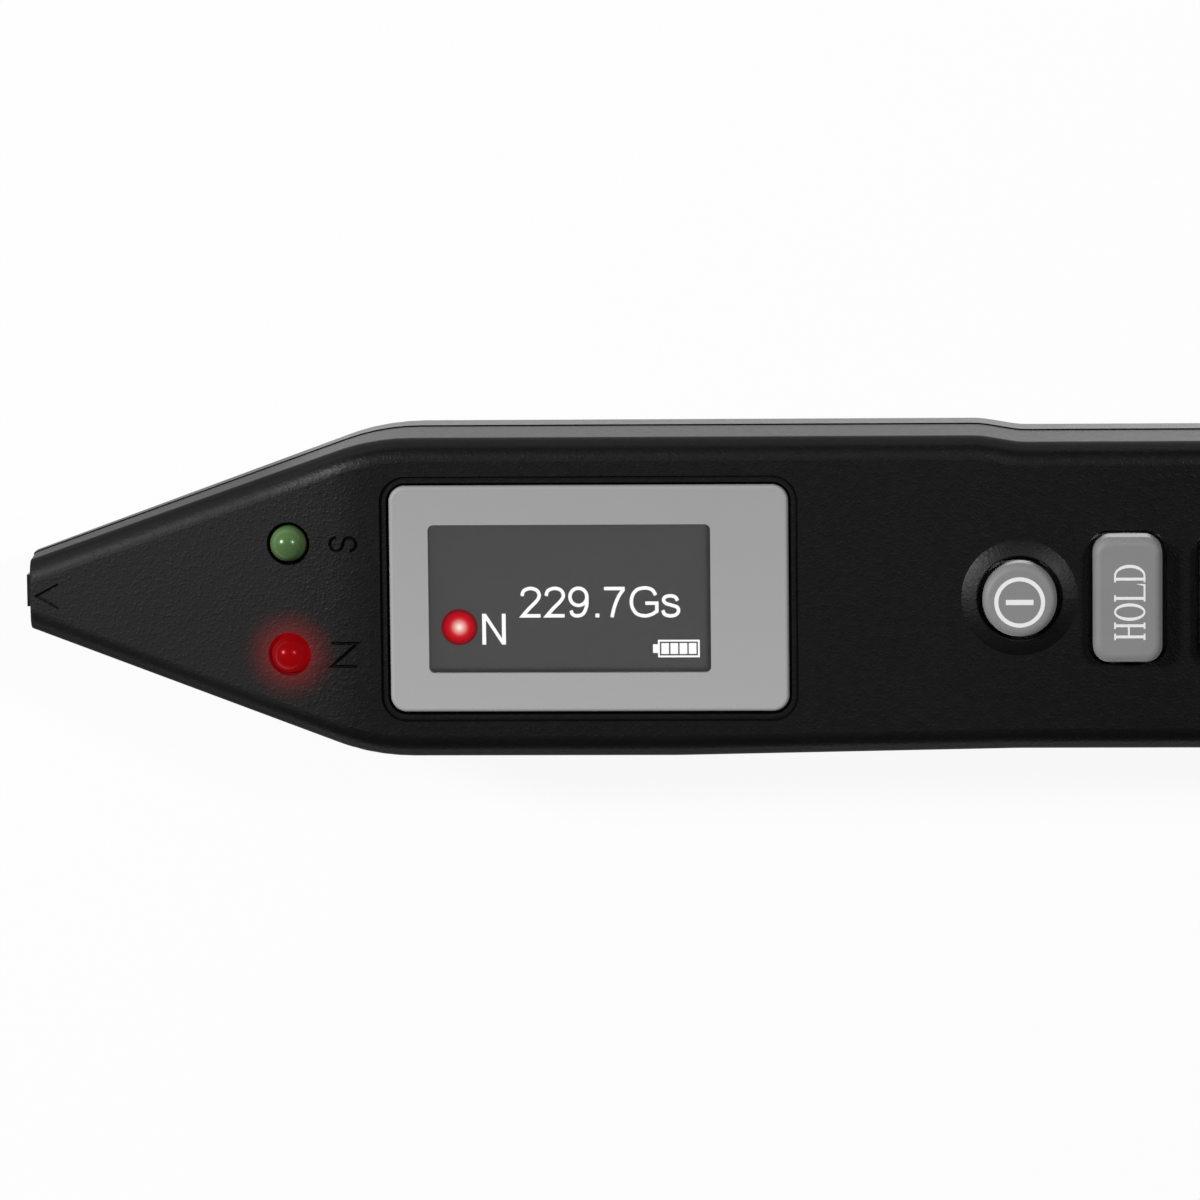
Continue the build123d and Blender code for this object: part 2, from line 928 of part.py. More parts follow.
def flex_connector():
    """Board connector that takes the flex."""
    start = panel_end_x + flex_reach + connector_run
    half = connector_width / 2
    return block(
        start, start + connector_length, -half, half, board_top_z, board_top_z + connector_height
    )


def main_board():
    """Circuit board that follows the case outline, with its holes."""
    board = prism(wall + board_edge_gap, board_bottom_z, board_top_z)
    board = board & block(board_x, bay_x - boss_to_wall, -far, far, 0, far)
    boss_radius = front_boss_radius + board_hole_clearance
    for side in (1, -1):
        board = board - post(
            nose_boss_x, side * nose_boss_spread, board_bottom_z, board_top_z, boss_radius
        )
        edges = sorted([side * (handle_boss_y - boss_radius), side * far])
        board = board - block(handle_boss_x - boss_radius, far, *edges, 0, far)
    screw_radius = board_screw_diameter / 2 + shank_clearance
    for x, y in board_screw_places:
        board = board - post(x, y, board_bottom_z, board_top_z, screw_radius)
    return board - lead_holes(board_bottom_z, board_top_z)


def cross_slot(x, y, head_z, head_diameter):
    """Cross recess in a screw head that faces the back."""
    reach = head_diameter * cross_slot_share / 2
    half = cross_slot_width / 2
    top = head_z + cross_slot_depth
    along = block(x - reach, x + reach, y - half, y + half, head_z - overcut, top)
    across = block(x - half, x + half, y - reach, y + reach, head_z - overcut, top)
    return along + across


def screw(x, y, seat_z, head_diameter, head_height, diameter, length):
    """Pan-head screw driven upwards from the back."""
    head_z = seat_z - head_height
    head = post(x, y, head_z, seat_z, head_diameter / 2)
    rim = head.faces().sort_by(Axis.Z)[0].edges()
    head = fillet(rim, min(screw_head_edge, head_height * edge_share))
    shank = post(x, y, seat_z, seat_z + length, diameter / 2)
    return head + shank - cross_slot(x, y, head_z, head_diameter)


def case_screws():
    """Screws that close the case."""
    head = (case_screw_head, case_screw_head_height)
    shank = (case_screw_diameter, case_screw_length)
    return [screw(x, y, case_screw_seat, *head, *shank) for x, y in case_screw_places]


def board_screws():
    """Screws that hold the board to the front shell."""
    head = (board_screw_head, board_screw_head_height)
    shank = (board_screw_diameter, board_screw_length)
    return [screw(x, y, board_bottom_z, *head, *shank) for x, y in board_screw_places]


def switch_body(x):
    """Plastic base of a tact switch, with the bore for its stem."""
    half = switch_size / 2
    top = switch_top_z - switch_cover
    base = block(x - half, x + half, -half, half, board_top_z, top)
    floor_z = switch_top_z - stem_depth - key_travel - stem_clearance
    return base - post(x, 0, floor_z, top, stem_diameter / 2 + stem_clearance)


def switch_covers():
    """Metal cover plate on each switch."""
    half = switch_size / 2
    plates = []
    for x in switch_places:
        plate = block(x - half, x + half, -half, half, switch_top_z - switch_cover, switch_top_z)
        bore = post(x, 0, board_top_z, switch_top_z, stem_diameter / 2 + stem_clearance)
        plates.append(plate - bore)
    return plates


def switch_legs():
    """Four soldered feet on each switch."""
    legs = []
    for x in switch_places:
        for side in (-1, 1):
            for row in (-1, 1):
                middle = x + row * leg_spread / 2
                edges = sorted([side * switch_size / 2, side * (switch_size / 2 + leg_length)])
                legs.append(
                    block(
                        middle - leg_width / 2,
                        middle + leg_width / 2,
                        edges[0],
                        edges[1],
                        board_top_z,
                        board_top_z + leg_thickness,
                    )
                )
    return legs


def switch_stem(x):
    """Round stem of a switch, which moves with its key."""
    return post(x, 0, switch_top_z - stem_depth, stem_top_z, stem_diameter / 2)


def power_button():
    """Round power key with its flange and post."""
    top = face_z + power_proud
    cap = post(power_x, 0, flange_bottom_z, top, power_diameter / 2)
    cap = fillet(cap.faces().sort_by(Axis.Z)[-1].edges(), power_edge_radius)
    reach = power_diameter / 2 + key_gap + key_flange_overlap
    flange = post(power_x, 0, flange_bottom_z, flange_top_z, reach)
    return cap + flange + post(power_x, 0, stem_top_z, flange_bottom_z, stem_diameter / 2)


def key(x):
    """Rectangular key with its flange and post."""
    top = face_z + key_proud
    cap = slab(x, key_length, key_width, key_corner, flange_bottom_z, top)
    cap = fillet(cap.faces().sort_by(Axis.Z)[-1].edges(), key_edge_radius)
    rim = 2 * (key_gap + key_flange_overlap)
    corner = key_corner + rim / 2
    flange = slab(
        x, key_length + rim, key_width + rim, corner, flange_bottom_z, flange_top_z
    )
    return cap + flange + post(x, 0, stem_top_z, flange_bottom_z, stem_diameter / 2)


def chip(x, y, length, width, height):
    """Component on the underside of the board."""
    return block(
        x - length / 2,
        x + length / 2,
        y - width / 2,
        y + width / 2,
        board_bottom_z - height,
        board_bottom_z,
    )


def board_capacitors():
    """Row of small capacitors beside the controller."""
    start = window_middle_x - (capacitor_count - 1) * capacitor_pitch / 2
    row = []
    for index in range(capacitor_count):
        for side in (-1, 1):
            x = start + index * capacitor_pitch
            y = side * chip_side_offset
            row.append(chip(x, y, capacitor_length, capacitor_width, capacitor_height))
    return row


def cell(side, nub_x, towards):
    """AAA cell lying along X, with its nub at nub_x and its can reaching the other way."""
    y = side * cell_offset
    place = Pos(0, y, cell_axis_z) * Rotation(0, 90, 0)
    can_length = cell_length - nub_height
    can_x = nub_x + towards * (nub_height + can_length / 2)
    can = Pos(can_x, 0, 0) * place * Cylinder(cell_diameter / 2, can_length)
    nub = Pos(nub_x + towards * nub_height / 2, 0, 0) * place
    return can + nub * Cylinder(nub_diameter / 2, nub_height)


def end_contact(side):
    """Contact plate on the front wall of the bay, with a tab that reaches the board."""
    y = side * cell_offset
    half = contact_width / 2
    low = cell_axis_z - contact_height / 2
    plate = block(bay_inner_x, front_plate_x, y - half, y + half, low, low + contact_height)
    tab_y = side * contact_tab_y
    tab_half = contact_tab_width / 2
    tab = block(
        bay_x - contact_tab_length,
        bay_inner_x,
        tab_y - tab_half,
        tab_y + tab_half,
        board_top_z,
        board_top_z + contact_thickness,
    )
    return plate + tab


def bridge_contact():
    """Contact plate at the tail that joins the two cells."""
    low = cell_axis_z - contact_height / 2
    plate = block(tail_plate_x, bay_end_x, -cell_offset, cell_offset, low, cell_axis_z)
    for side in (1, -1):
        y = side * cell_offset
        half = contact_width / 2
        high = low + contact_height
        plate = plate + block(tail_plate_x, bay_end_x, y - half, y + half, low, high)
    return plate


def spring_point(turn, side, base_x, towards):
    """Point and tangent of a conical spring after a number of turns."""
    turns = spring_half_turns / 2
    share = turn / turns
    base_radius = (spring_base_diameter - spring_wire) / 2
    top_radius = (spring_top_diameter - spring_wire) / 2
    radius = base_radius + (top_radius - base_radius) * share
    climb = spring_length - spring_wire
    angle = 2 * math.pi * turn
    x = base_x + towards * (spring_wire / 2 + climb * share)
    point = Vector(
        x,
        side * cell_offset + radius * math.cos(angle),
        cell_axis_z + radius * math.sin(angle),
    )
    shrink = (top_radius - base_radius) / turns
    spin = 2 * math.pi * radius
    tangent = Vector(
        towards * climb / turns,
        shrink * math.cos(angle) - spin * math.sin(angle),
        shrink * math.sin(angle) + spin * math.cos(angle),
    )
    return point, tangent.normalized()


def biarc(start, start_tangent, end, end_tangent):
    """Two arcs that join two points smoothly."""
    chord = end - start
    total = start_tangent + end_tangent
    bend = 2 * (1 - start_tangent.dot(end_tangent))
    along = chord.dot(total)
    reach = (math.sqrt(along**2 + bend * chord.dot(chord)) - along) / bend
    middle = (start + end) * 0.5 + (start_tangent - end_tangent) * (reach / 2)
    first = Edge.make_tangent_arc(start, start_tangent, middle)
    second = Edge.make_tangent_arc(middle, first % 1, end)
    return [first, second]


def spring(side, base_x, towards):
    """Conical cell spring of round wire."""
    edges = []
    for index in range(spring_half_turns):
        start, start_tangent = spring_point(index / 2, side, base_x, towards)
        end, end_tangent = spring_point((index + 1) / 2, side, base_x, towards)
        edges.extend(biarc(start, start_tangent, end, end_tangent))
    path = Wire(edges)
    section = Plane(origin=path @ 0, z_dir=path % 0) * Circle(spring_wire / 2)
    return sweep(section, path=path)


def spring_gap():
    """Least gap between neighbouring turns of a spring, measured on points."""
    samples = 400
    least_turn = 0.6
    turns = spring_half_turns / 2
    points = [spring_point(turns * index / samples, 1, 0, 1)[0] for index in range(samples + 1)]
    apart = int(samples * least_turn / turns)
    least = far
    for first in range(samples + 1 - apart):
        for second in range(first + apart, samples + 1):
            least = min(least, (points[first] - points[second]).length)
    return least - spring_wire


def save(name, shapes):
    """Write one node from one solid or a list of solids."""
    listed = shapes if isinstance(shapes, list) else [shapes]
    solids = [solid for shape in listed for solid in shape.solids()]
    whole = solids[0] if len(solids) == 1 else Compound(solids)
    export_step(whole, f"parts/{name}.step")
    print(name, len(solids))


os.makedirs("parts", exist_ok=True)
save("front_case", front_case())
save("rear_case", rear_case())
save("battery_door", battery_door())
save("tip_insert", tip_insert())
save("hall_sensor", hall_sensor())
save("hall_sensor_leads", hall_sensor_leads())
save("led_south", led(*led_places[0]))
save("led_north", led(*led_places[1]))
save("led_leads", led_leads())
save("led_spacers", led_spacers())
save("display_bezel", display_bezel())
save("window_lens", window_lens())
save("bezel_adhesive", bezel_adhesive())
save("display_gasket", display_gasket())
save("display_panel", display_panel())
save("display_holder", display_holder())
save("display_flex", display_flex())
save("flex_connector", flex_connector())
save("main_board", main_board())
save("case_screws", case_screws())
save("board_screws", board_screws())
save("power_switch", switch_body(power_x))
save("hold_switch", switch_body(hold_x))
save("zero_switch", switch_body(zero_x))
save("switch_covers", switch_covers())
save("switch_legs", switch_legs())
save("power_stem", switch_stem(power_x))
save("hold_stem", switch_stem(hold_x))
save("zero_stem", switch_stem(zero_x))
save("power_button", power_button())
save("hold_button", key(hold_x))
save("zero_button", key(zero_x))
controller = (controller_size, controller_size, controller_height)
amplifier = (amplifier_length, amplifier_width, amplifier_height)
converter = (converter_length, converter_width, converter_height)
inductor = (inductor_size, inductor_size, inductor_height)
crystal = (crystal_length, crystal_width, crystal_height)
save("microcontroller", chip(controller_x, 0, *controller))
save("sensor_amplifier", chip(amplifier_x, 0, *amplifier))
save("boost_converter", chip(hold_x, chip_side_offset, *converter))
save("boost_inductor", chip(power_x, chip_side_offset, *inductor))
save("crystal", chip(panel_end_x, 0, *crystal))
save("board_capacitors", board_capacitors())
save("battery_cell_left", cell(1, tail_plate_x, -1))
save("battery_cell_right", cell(-1, front_plate_x, 1))
save("negative_contact", end_contact(1))
save("positive_contact", end_contact(-1))
save("bridge_contact", bridge_contact())
springs = [spring(1, front_plate_x, 1), spring(-1, tail_plate_x, -1)]
save("battery_springs", springs)
wire_area = math.pi * spring_wire**2 / 4
print("least spring gap", round(spring_gap(), 3))
print("spring volume against section times length", [round(s.volume / wire_area, 2) for s in springs])
overall_width = 2 * (head_half + seam_step)
overall_height = face_z + key_proud
print("overall", round(overall_length, 3), round(overall_width, 3), round(overall_height, 3))
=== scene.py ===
# %% [markdown]
# # A pen-shaped magnetic field meter
# The real thing is a slim black case, about as long as a marker pen, with a tapered nose that holds
# the field sensor, two small lamps, a framed screen and three soft grey keys. The solid pieces come
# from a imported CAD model, already in place and in metres. This lesson gives every piece its finish,
# prints the marks, lights up the screen, and sets up a small white studio around it.
#
# We first keep the size of the untouched model, so that the dressed one can be compared with it.

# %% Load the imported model
import math

import bmesh
import bpy
from mathutils import Matrix, Vector
from mathutils.geometry import delaunay_2d_cdt


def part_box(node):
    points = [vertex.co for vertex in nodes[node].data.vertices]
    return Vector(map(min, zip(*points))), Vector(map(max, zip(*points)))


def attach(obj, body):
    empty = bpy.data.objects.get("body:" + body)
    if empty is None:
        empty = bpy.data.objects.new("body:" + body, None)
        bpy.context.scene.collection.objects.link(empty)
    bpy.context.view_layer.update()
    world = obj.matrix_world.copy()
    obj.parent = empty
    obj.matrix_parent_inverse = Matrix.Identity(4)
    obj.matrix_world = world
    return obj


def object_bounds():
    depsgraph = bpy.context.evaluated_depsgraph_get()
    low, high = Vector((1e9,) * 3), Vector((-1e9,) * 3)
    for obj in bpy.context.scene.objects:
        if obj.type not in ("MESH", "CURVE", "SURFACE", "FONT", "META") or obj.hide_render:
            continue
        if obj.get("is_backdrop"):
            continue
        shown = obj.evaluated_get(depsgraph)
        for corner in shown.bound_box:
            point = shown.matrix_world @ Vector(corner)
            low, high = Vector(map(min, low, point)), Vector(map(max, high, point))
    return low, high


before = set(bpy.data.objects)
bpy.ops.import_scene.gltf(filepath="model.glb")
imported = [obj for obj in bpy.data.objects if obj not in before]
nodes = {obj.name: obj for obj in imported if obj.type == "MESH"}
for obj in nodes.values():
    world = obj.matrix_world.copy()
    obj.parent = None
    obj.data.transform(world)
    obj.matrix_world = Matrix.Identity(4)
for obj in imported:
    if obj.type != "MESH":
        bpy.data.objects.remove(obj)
cad_low, cad_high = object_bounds()
collection = bpy.context.scene.collection
MM = 0.001
print("loaded", len(nodes), "pieces, size in mm:", [round(x / MM, 1) for x in cad_high - cad_low])

# %% [markdown]
# ## The camera
# A product picture like this is taken from almost straight above with a long lens, so the case looks
# nearly flat and only a sliver of its far side wall shows. We aim at a point on the face, stand a
# good half metre above it, a little to the tail and to the far side, and roll the camera by a hair.
# The tail end runs out of the picture on the right. We build the camera's axes by hand, because a
# tracking constraint gets its roll from the world's Z axis, which is useless when looking down.

# %% Camera
face_height = 17.4 * MM
aim = Vector((-33.1 * MM, -0.08 * MM, face_height))
camera_offset = Vector((33.1, 67.86, 544.8)) * MM
camera_roll = math.radians(-0.61)
focal_length = 206.25
sensor_width = 36.0

camera_data = bpy.data.cameras.new("camera")
camera_data.sensor_width = sensor_width
camera_data.lens = focal_length
camera = bpy.data.objects.new("camera", camera_data)
collection.objects.link(camera)
bpy.context.scene.camera = camera

backward = camera_offset.normalized()
rightward = Vector((0, 1, 0)).cross(backward).normalized()
upward = backward.cross(rightward)
axes = Matrix((rightward, upward, backward)).transposed().to_4x4()
roll = Matrix.Rotation(camera_roll, 4, "Z")
camera.matrix_world = Matrix.Translation(aim + camera_offset) @ axes @ roll
print("camera stands", round(camera_offset.length, 3), "m from the face")

# %% [markdown]
# ## Small helpers for shader nodes
# A node tree can be built by hand in the shader editor, but a script can be read and run again. It
# reads best when a node and what feeds it stand on one line. The first helper makes a node, sets its
# properties, and fills its inputs with either a plain value or another node's output. The others are
# shorthands for the places, sums, ramps and mixes that masks are made of.

# %% Node helpers
def add_node(tree, kind, inputs=None, **properties):
    made = tree.nodes.new(kind)
    for name, value in properties.items():
        setattr(made, name, value)
    for socket, value in (inputs or {}).items():
        if isinstance(value, bpy.types.NodeSocket):
            tree.links.new(value, made.inputs[socket])
        else:
            made.inputs[socket].default_value = value
    return made


def coordinates(tree):
    """The X, Y and Z of a point of the object, in metres."""
    place = add_node(tree, "ShaderNodeTexCoord").outputs["Object"]
    return add_node(tree, "ShaderNodeSeparateXYZ", {0: place}).outputs


def calc(tree, operation, first, second=0.0, clamp=False):
    made = add_node(tree, "ShaderNodeMath", {0: first, 1: second}, operation=operation, use_clamp=clamp)
    return made.outputs[0]


def ramp_between(tree, value, low, high, out_low=0.0, out_high=1.0, smooth=False):
    kind = "SMOOTHSTEP" if smooth else "LINEAR"
    limits = {"Value": value, "From Min": low, "From Max": high, "To Min": out_low, "To Max": out_high}
    return add_node(tree, "ShaderNodeMapRange", limits, interpolation_type=kind).outputs["Result"]


def mix_colour(tree, factor, first, second):
    # A Mix node has its sockets once for each kind of data. Inputs 6 and 7 and output 2 are the colours.
    inputs = {"Factor": factor, 6: first, 7: second}
    return add_node(tree, "ShaderNodeMix", inputs, data_type="RGBA").outputs[2]


def grey(level):
    return (level, level, level, 1.0)


print("node helpers are ready")

# %% [markdown]
# ## The room
# Black plastic is shown by what it reflects. Here the ceiling is dim, so the flat face stays deep
# black, and only the white floor is bright, so the far side wall, which we see at a glancing angle,
# lights up as a pale strip. Large lamps could light such a room, but their edges would show in the
# gloss, so one gradient in the world's background does it: grey at the horizon, falling off with
# height. The camera itself sees plain white past the floor, like a paper backdrop, and so does a
# reflection or a clear piece that looks below the horizon. That white is only seen and lights
# nothing.

# %% World
horizon_light = 0.12
ceiling_light = 0.04
fall_start = 0.0
fall_end = 0.35

world = bpy.data.worlds.new("studio_room")
bpy.context.scene.world = world
world.use_nodes = True
room = world.node_tree
direction = add_node(room, "ShaderNodeTexCoord").outputs["Generated"]
height = add_node(room, "ShaderNodeSeparateXYZ", {0: direction}).outputs["Z"]
level = ramp_between(room, height, fall_start, fall_end, horizon_light, ceiling_light, smooth=True)
rays = add_node(room, "ShaderNodeLightPath").outputs
passed_on = calc(room, "MAXIMUM", rays["Is Glossy Ray"], rays["Is Transmission Ray"])
below_horizon = calc(room, "LESS_THAN", height, 0.0)
seen = calc(room, "MAXIMUM", rays["Is Camera Ray"], calc(room, "MULTIPLY", passed_on, below_horizon))
room.links.new(calc(room, "MAXIMUM", level, seen), room.nodes["Background"].inputs["Color"])
bpy.context.scene.view_settings.view_transform = "Standard"
print("room light falls from", horizon_light, "at the horizon to", ceiling_light, "overhead")

# %% [markdown]
# ## Two softboxes
# The two bright dots on each lamp dome tell where the studio's lights stood: one lower on the nose
# side, one higher on the tail side, both a little beyond the case. The face is palest at the nose
# and fades towards the tail, so the nose lamp is the stronger one. Glowing discs would give the same
# light, but Blender aims its samples better at lamps, so each is a round area lamp about a hand's
# width across, which keeps its highlight small. They are hidden from the camera itself, so that no
# white disc shows in other views.

# %% Softboxes
softboxes = {
    "softbox_nose": {"toward": (-0.64, 0.28, 0.715), "distance": 0.80, "width": 0.147, "watts": 5.0},
    "softbox_tail": {"toward": (0.52, 0.27, 0.81), "distance": 0.75, "width": 0.12, "watts": 1.9},
}
lamp_target = Vector((-0.03, 0.0, face_height))

for lamp_name, box in softboxes.items():
    lamp_data = bpy.data.lights.new(lamp_name, "AREA")
    lamp_data.shape = "DISK"
    lamp_data.size = box["width"]
    lamp_data.energy = box["watts"]
    lamp = bpy.data.objects.new(lamp_name, lamp_data)
    collection.objects.link(lamp)
    toward = Vector(box["toward"]).normalized()
    lamp.location = lamp_target + toward * box["distance"]
    lamp.rotation_euler = toward.to_track_quat("Z", "Y").to_euler()
    lamp.visible_camera = False
    print(lamp_name, "at", [round(x, 2) for x in lamp.location])

# %% [markdown]
# ## The floor
# The meter lies on a plain white sheet, which takes its soft shadow. More light would make the sheet
# a clean white, but would also fall on the meter. So the sheet is matt white to the light that
# bounces on to the meter, while most of what the camera, a reflection or a clear piece sees of it is
# a plain glow, and the rest keeps the shadow. The sheet lies a hair below the meter's back and is
# clear from underneath, so that the back can be seen.

# %% Floor
floor_side = 8.0
floor_drop = 0.05 * MM
floor_glow_share = 0.93
paper_white = grey(0.9)

floor_mesh = bpy.data.meshes.new("floor")
builder = bmesh.new()
bmesh.ops.create_grid(builder, x_segments=1, y_segments=1, size=floor_side / 2)
builder.to_mesh(floor_mesh)
builder.free()
floor = bpy.data.objects.new("floor", floor_mesh)
floor.location.z = -floor_drop
collection.objects.link(floor)
floor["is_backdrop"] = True

paper = bpy.data.materials.new("white_paper")
paper.use_nodes = True
tree = paper.node_tree
tree.nodes.clear()
rays = add_node(tree, "ShaderNodeLightPath").outputs
seen = calc(tree, "MAXIMUM", rays["Is Camera Ray"], rays["Is Glossy Ray"])
seen = calc(tree, "MAXIMUM", seen, rays["Is Transmission Ray"])
share = calc(tree, "MULTIPLY", seen, floor_glow_share)
matt = add_node(tree, "ShaderNodeBsdfDiffuse", {"Color": paper_white})
glow = add_node(tree, "ShaderNodeEmission", {"Color": grey(1.0), "Strength": 1.0})
blend = add_node(tree, "ShaderNodeMixShader", {0: share, 1: matt.outputs[0], 2: glow.outputs[0]})
from_below = add_node(tree, "ShaderNodeNewGeometry").outputs["Backfacing"]
clear = add_node(tree, "ShaderNodeBsdfTransparent")
sheet = add_node(tree, "ShaderNodeMixShader", {0: from_below, 1: blend.outputs[0], 2: clear.outputs[0]})
add_node(tree, "ShaderNodeOutputMaterial", {"Surface": sheet.outputs[0]})
floor_mesh.materials.append(paper)
print("floor is", floor_side, "m square")

# %% [markdown]
# ## Moulded grain, a shared effect
# A mould for a hand tool is spark-etched, which gives the plastic a fine pebbled skin. It hides
# scratches and makes the surface twinkle, because a few pebbles stand up steeply enough to catch a
# lamp. Real bumps that small would need millions of faces, so the grain is a bump in the shader.
# Several finishes need it at different sizes, so it is a node group: it takes the size of a pebble
# and gives back a height, fine pebbles everywhere with a few tall ones among them. Object
# coordinates are metres here, so sizes are real ones.

# %% Grain group
def start_group(name, inputs, outputs):
    group = bpy.data.node_groups.new(name, "ShaderNodeTree")
    for label, default in inputs.items():
        socket = group.interface.new_socket(label, in_out="INPUT", socket_type="NodeSocketFloat")
        socket.default_value = default
    for label in outputs:
        group.interface.new_socket(label, in_out="OUTPUT", socket_type="NodeSocketFloat")
    source = group.nodes.new("NodeGroupInput")
    result = group.nodes.new("NodeGroupOutput")
    return group, source.outputs, result.inputs


pebble_detail = 3.0
pebble_roughness = 0.6
tall_size = 2.0
tall_detail = 1.0
tall_from = 0.50
tall_to = 0.75
tall_rise = 0.5

grain_group, source, result = start_group("moulded_grain", {"Pebble mm": 0.25}, ["Height"])
place = add_node(grain_group, "ShaderNodeTexCoord").outputs["Object"]
per_metre = calc(grain_group, "DIVIDE", 1 / MM, source["Pebble mm"])
pebbles = add_node(
    grain_group,
    "ShaderNodeTexNoise",
    {"Vector": place, "Scale": per_metre, "Detail": pebble_detail, "Roughness": pebble_roughness},
)
tall_scale = calc(grain_group, "DIVIDE", per_metre, tall_size)
tall_noise = add_node(
    grain_group, "ShaderNodeTexNoise", {"Vector": place, "Scale": tall_scale, "Detail": tall_detail}
)
tall = ramp_between(grain_group, tall_noise.outputs["Fac"], tall_from, tall_to, 0.0, tall_rise)
grain_group.links.new(calc(grain_group, "ADD", pebbles.outputs["Fac"], tall), result["Height"])
print("made the group", grain_group.name)

# %% [markdown]
# ## Handling, a shared effect
# Nothing that has been held is even all over. Fingers polish some patches and leave others dull.
# Such a mask could be painted on an unwrapped mesh, but noise needs no unwrapping and fits every
# piece. This group gives one slow mask, a few patches to the width of the case, plus a finer one,
# for nudging colour and roughness by a few percent.

# %% Handling group
patch_detail = 4.0
mottle_detail = 3.0
mottle_fineness = 12.0
noise_span = (0.3, 0.7)

handling_group, source, result = start_group("handling", {"Patch mm": 9.0}, ["Patches", "Mottle"])
place = add_node(handling_group, "ShaderNodeTexCoord").outputs["Object"]
patch_scale = calc(handling_group, "DIVIDE", 1 / MM, source["Patch mm"])
mottle_scale = calc(handling_group, "MULTIPLY", patch_scale, mottle_fineness)
for label, scale, detail in (
    ("Patches", patch_scale, patch_detail),
    ("Mottle", mottle_scale, mottle_detail),
):
    noise = add_node(
        handling_group, "ShaderNodeTexNoise", {"Vector": place, "Scale": scale, "Detail": detail}
    )
    mask = ramp_between(handling_group, noise.outputs["Fac"], *noise_span)
    handling_group.links.new(mask, result[label])
print("made the group", handling_group.name)

# %% [markdown]
# ## The plastic finish
# Case, bezel, keys, insert and holder are all moulded plastic, and differ in colour, gloss and the
# size of the grain. Each could have a tree of its own, but one function keeps them alike: the slow
# patches shift the colour between two close tones, the fine mottle shifts the roughness between two
# values, and the grain goes into a bump whose depth is a real length. The function hands back the
# tree and the shader, so that a finish can add something of its own.

# %% Plastic finish
finishes = {}


def new_finish(name):
    material = bpy.data.materials.new(name)
    material.use_nodes = True
    finishes[name] = material
    return material.node_tree, material.node_tree.nodes["Principled BSDF"]


def add_group(tree, group, **inputs):
    made = tree.nodes.new("ShaderNodeGroup")
    made.node_tree = group
    for label, value in inputs.items():
        made.inputs[label.replace("_", " ")].default_value = value
    return made.outputs


def moulded_plastic(name, tones, roughness, pebble, depth, patch=9.0, ior=1.5):
    """A moulded finish; the sizes of pebble, depth and patch are in millimetres."""
    tree, shader = new_finish(name)
    handling = add_group(tree, handling_group, Patch_mm=patch)
    grain = add_group(tree, grain_group, Pebble_mm=pebble)
    tone = mix_colour(tree, handling["Patches"], *tones)
    tree.links.new(tone, shader.inputs["Base Color"])
    rough = ramp_between(tree, handling["Mottle"], 0.0, 1.0, *roughness)
    tree.links.new(rough, shader.inputs["Roughness"])
    bump = add_node(tree, "ShaderNodeBump", {"Height": grain["Height"], "Distance": depth * MM})
    tree.links.new(bump.outputs["Normal"], shader.inputs["Normal"])
    shader.inputs["IOR"].default_value = ior
    return tree, shader


print("the plastic finish is ready")

# %% [markdown]
# ## The black case
# Both shells are the same near-black plastic, and only their gloss changes from place to place. The
# face is duller at the nose and on its rounded edges, which rub against pocket and palm. The handle,
# polished by fingers, and the rear shell are smoother. Wear like this could be painted, but here its
# place along the case is enough, and the rounded edges are known by their normals, which lean
# between the face's straight up and the wall's level.

# %% Black case finish
black_tones = (grey(0.0025), grey(0.0033))
black_gloss = (0.40, 0.44)
black_grain = {"pebble": 0.20, "depth": 0.017, "ior": 1.36}
nose_start = -54.0 * MM
nose_end = -62.0 * MM
nose_dulling = 0.13
handle_start = -15.0 * MM
handle_end = 20.0 * MM
handle_polish = -0.05
rear_polish = -0.12
leaves_face = (0.85, 0.55)
leaves_wall = (0.05, 0.25)
edge_dulling = 0.35


def add_to_roughness(tree, shader, *changes):
    rough = shader.inputs["Roughness"].links[0].from_socket
    for change in changes:
        rough = calc(tree, "ADD", rough, change)
    tree.links.new(rough, shader.inputs["Roughness"])


def black_case(name, polish=0.0):
    gloss = [value + polish for value in black_gloss]
    tree, shader = moulded_plastic(name, black_tones, gloss, **black_grain)
    along = coordinates(tree)["X"]
    duller = ramp_between(tree, along, nose_start, nose_end, 0.0, nose_dulling, smooth=True)
    polished = ramp_between(tree, along, handle_start, handle_end, 0.0, handle_polish, smooth=True)
    normal = add_node(tree, "ShaderNodeTexCoord").outputs["Normal"]
    facing_up = add_node(tree, "ShaderNodeSeparateXYZ", {0: normal}).outputs["Z"]
    off_face = ramp_between(tree, facing_up, *leaves_face, smooth=True)
    off_wall = ramp_between(tree, facing_up, *leaves_wall, smooth=True)
    rounded = calc(tree, "MULTIPLY", off_face, off_wall)
    add_to_roughness(tree, shader, duller, polished, calc(tree, "MULTIPLY", rounded, edge_dulling))
    return tree, shader


black_case("case_black", rear_polish)
print("the case is rougher by", nose_dulling, "at the nose and", edge_dulling, "on its rounded edges")

# %% [markdown]
# ## Tip, bezel, keys and inner plastics
# The tip insert is a glossier black. The bezel is painted grey, and a ramp across it mixes in a paler
# grey towards the near side, which is painted light. The keys are soft plastic with a pale bloom
# on their rims.
# A second, paler colour at the rims would be lit like paint, so Blender's sheen, which shows only at
# glancing angles, gives the bloom. Inside are a white holder, foam gaskets and chip packages.

# %% Other plastic finishes
# a paler grey for the bezel's near side: painted light
bezel_painted_light = grey(0.43)
key_sheen = 0.6

